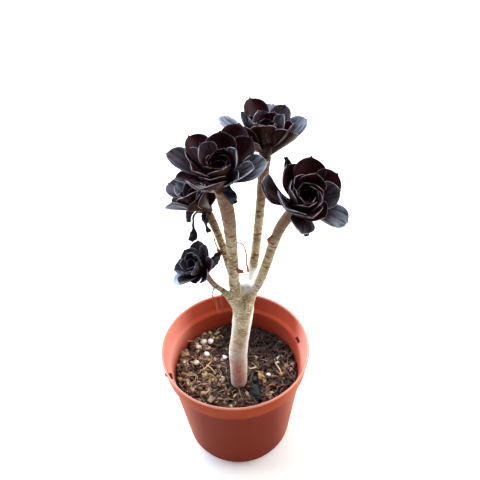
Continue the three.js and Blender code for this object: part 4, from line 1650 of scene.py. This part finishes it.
@dataclass
class Rootlets:
    """The thin dry aerial roots, the dry threads and the rusty flakes of old skin on the branches."""

    roots: tuple[Line, ...] = (
        line(
            (-14.8, -21.8, 197, 0.6), (-17, -24, 191, 0.45), (-14, -25, 185, 0.45),
            (-13.4, -25.4, 179, 0.6), (-12, -25.4, 174, 0.375),
        ),
        line((-10, -20.4, 189, 0.6), (-10.6, -22.8, 184, 0.45), (-9.8, -23.6, 178, 0.375)),
    )
    threads: tuple[Line, ...] = (
        line((-9.6, -10, 231.6, 0.4), (-8.4, -11, 225, 0.5), (-6, -11, 218.6, 0.6)),
        line(
            (5.4, -24, 239, 0.5), (9.4, -24, 236.6, 0.4), (11.4, -24, 228, 0.4), (11.2, -23, 219, 0.5),
            (12.2, -22.4, 211.6, 0.9),
        ),
    )
    skins: tuple[Line, ...] = (
        line((-8.5, -11.4, 222.6, 0.5), (-5.5, -11.6, 219.6, 2.2), (-2.6, -11.2, 218.4, 0.6)),
        line((4.2, -25.6, 217.2, 0.5), (6.8, -26.2, 215.2, 2), (9, -26, 213.6, 0.5)),
        line((29, -19.6, 239.5, 0.6), (26.6, -20.4, 237.6, 1.6), (26, -20.2, 233.8, 0.5)),
    )
    thread_tones: tuple[float, ...] = (0.5, 1.0)
    root: Shoot = Shoot(8, 40, rough=0.5)
    thread: Shoot = Shoot(8, 24, UPRIGHT, 1.0, 0.5)
    skin: Shoot = Shoot(8, 24, UPRIGHT, 0.3, 0.5)

    def build(self) -> None:
        """Builds the roots, threads and flakes as one piece."""
        bm, tone = toned_mesh()
        for root in self.roots:
            mark(self.root.add(bm, root), tone, 0.6)
        for thread, shade in zip(self.threads, self.thread_tones):
            mark(self.thread.add(bm, thread), tone, shade)
        for skin in self.skins:
            mark(self.skin.add(bm, skin), tone, 0.5)
        finish_piece(bm, "aerial_roots", FLAKE_FINISH.material())


# The stage


@dataclass
class Stage:
    """The pale floor, the soft lights and the camera."""

    floor_glow: float = 0.25
    sky_strength: float = 0.18
    aim: tuple[float, float, float] = (0, 0, 0.17)
    camera_place: tuple[float, float, float] = (7.5, -318.0, 490.2)
    pitch: float = 40.3
    roll: float = 2.4
    lens: float = 45.0
    sensor: float = 36.0

    def build(self) -> None:
        """Builds the floor, lights, sky and camera."""
        self.build_floor()
        self.build_lights()
        self.build_camera()

    def build_floor(self) -> None:
        """Adds a wide plain floor of matte white paper, which glows a little as if flooded with light."""
        bm = bmesh.new()
        bmesh.ops.create_grid(bm, x_segments=1, y_segments=1, size=4)
        mesh = close_mesh(bm, "floor")
        paper = Surface(
            "white_paper",
            {
                "Base Color": srgb("#fafafa"),
                "Emission Color": srgb("#ffffff"),
                "Emission Strength": self.floor_glow,
                "Roughness": 0.95,
            },
        )
        mesh.materials.append(paper.material)
        add_object("floor", mesh)

    def build_lights(self) -> None:
        """Adds a pale sky and the lamps, the strongest behind and to the left."""
        world = bpy.data.worlds.new("studio")
        world.use_nodes = True
        sky = world.node_tree.nodes["Background"]
        sky.inputs["Color"].default_value = srgb("#f2f5fa")
        sky.inputs["Strength"].default_value = self.sky_strength
        bpy.context.scene.world = world
        for lamp in Lamp:
            self.add_lamp(lamp)

    def add_lamp(self, lamp: Lamp) -> None:
        """Adds one square soft lamp that faces the plant.

        Args:
            lamp: which of the lamps.
        """
        place, size, power, colour = lamp.value
        light = bpy.data.lights.new(lamp.name.lower(), "AREA")
        light.size = size
        light.energy = power
        light.color = srgb(colour)[:3]
        holder = add_object(lamp.name.lower(), light)
        holder.location = place
        aim = Vector(self.aim) - Vector(place)
        holder.rotation_euler = aim.to_track_quat("-Z", "Y").to_euler()

    def build_camera(self) -> None:
        """Adds the camera at the photograph's viewing angle."""
        data = bpy.data.cameras.new("camera")
        data.lens = self.lens
        data.sensor_width = self.sensor
        data.clip_start = 0.01
        camera = add_object("camera", data)
        look = Matrix.Rotation(math.radians(90 - self.pitch), 4, "X")
        twist = Matrix.Rotation(math.radians(-self.roll), 4, "Z")
        camera.matrix_world = Matrix.Translation(Vector(self.camera_place) * MM) @ look @ twist
        bpy.context.scene.camera = camera
        bpy.context.scene.view_settings.view_transform = "Standard"


def main() -> None:
    """Builds the plant's pieces in order and reports each."""
    logging.basicConfig(level=logging.INFO)
    noise.seed_set(NOISE_SEED)
    Stage().build()
    Pot().build()
    PottingMix().build()
    LooseOnes().build()
    Litter().build()
    Stem().build()
    skin = LeafSkin().material()
    for rosette in ROSETTES:
        rosette.build(skin)
    WitheredBits().build()
    Rootlets().build()


if __name__ == "__main__":
    main()
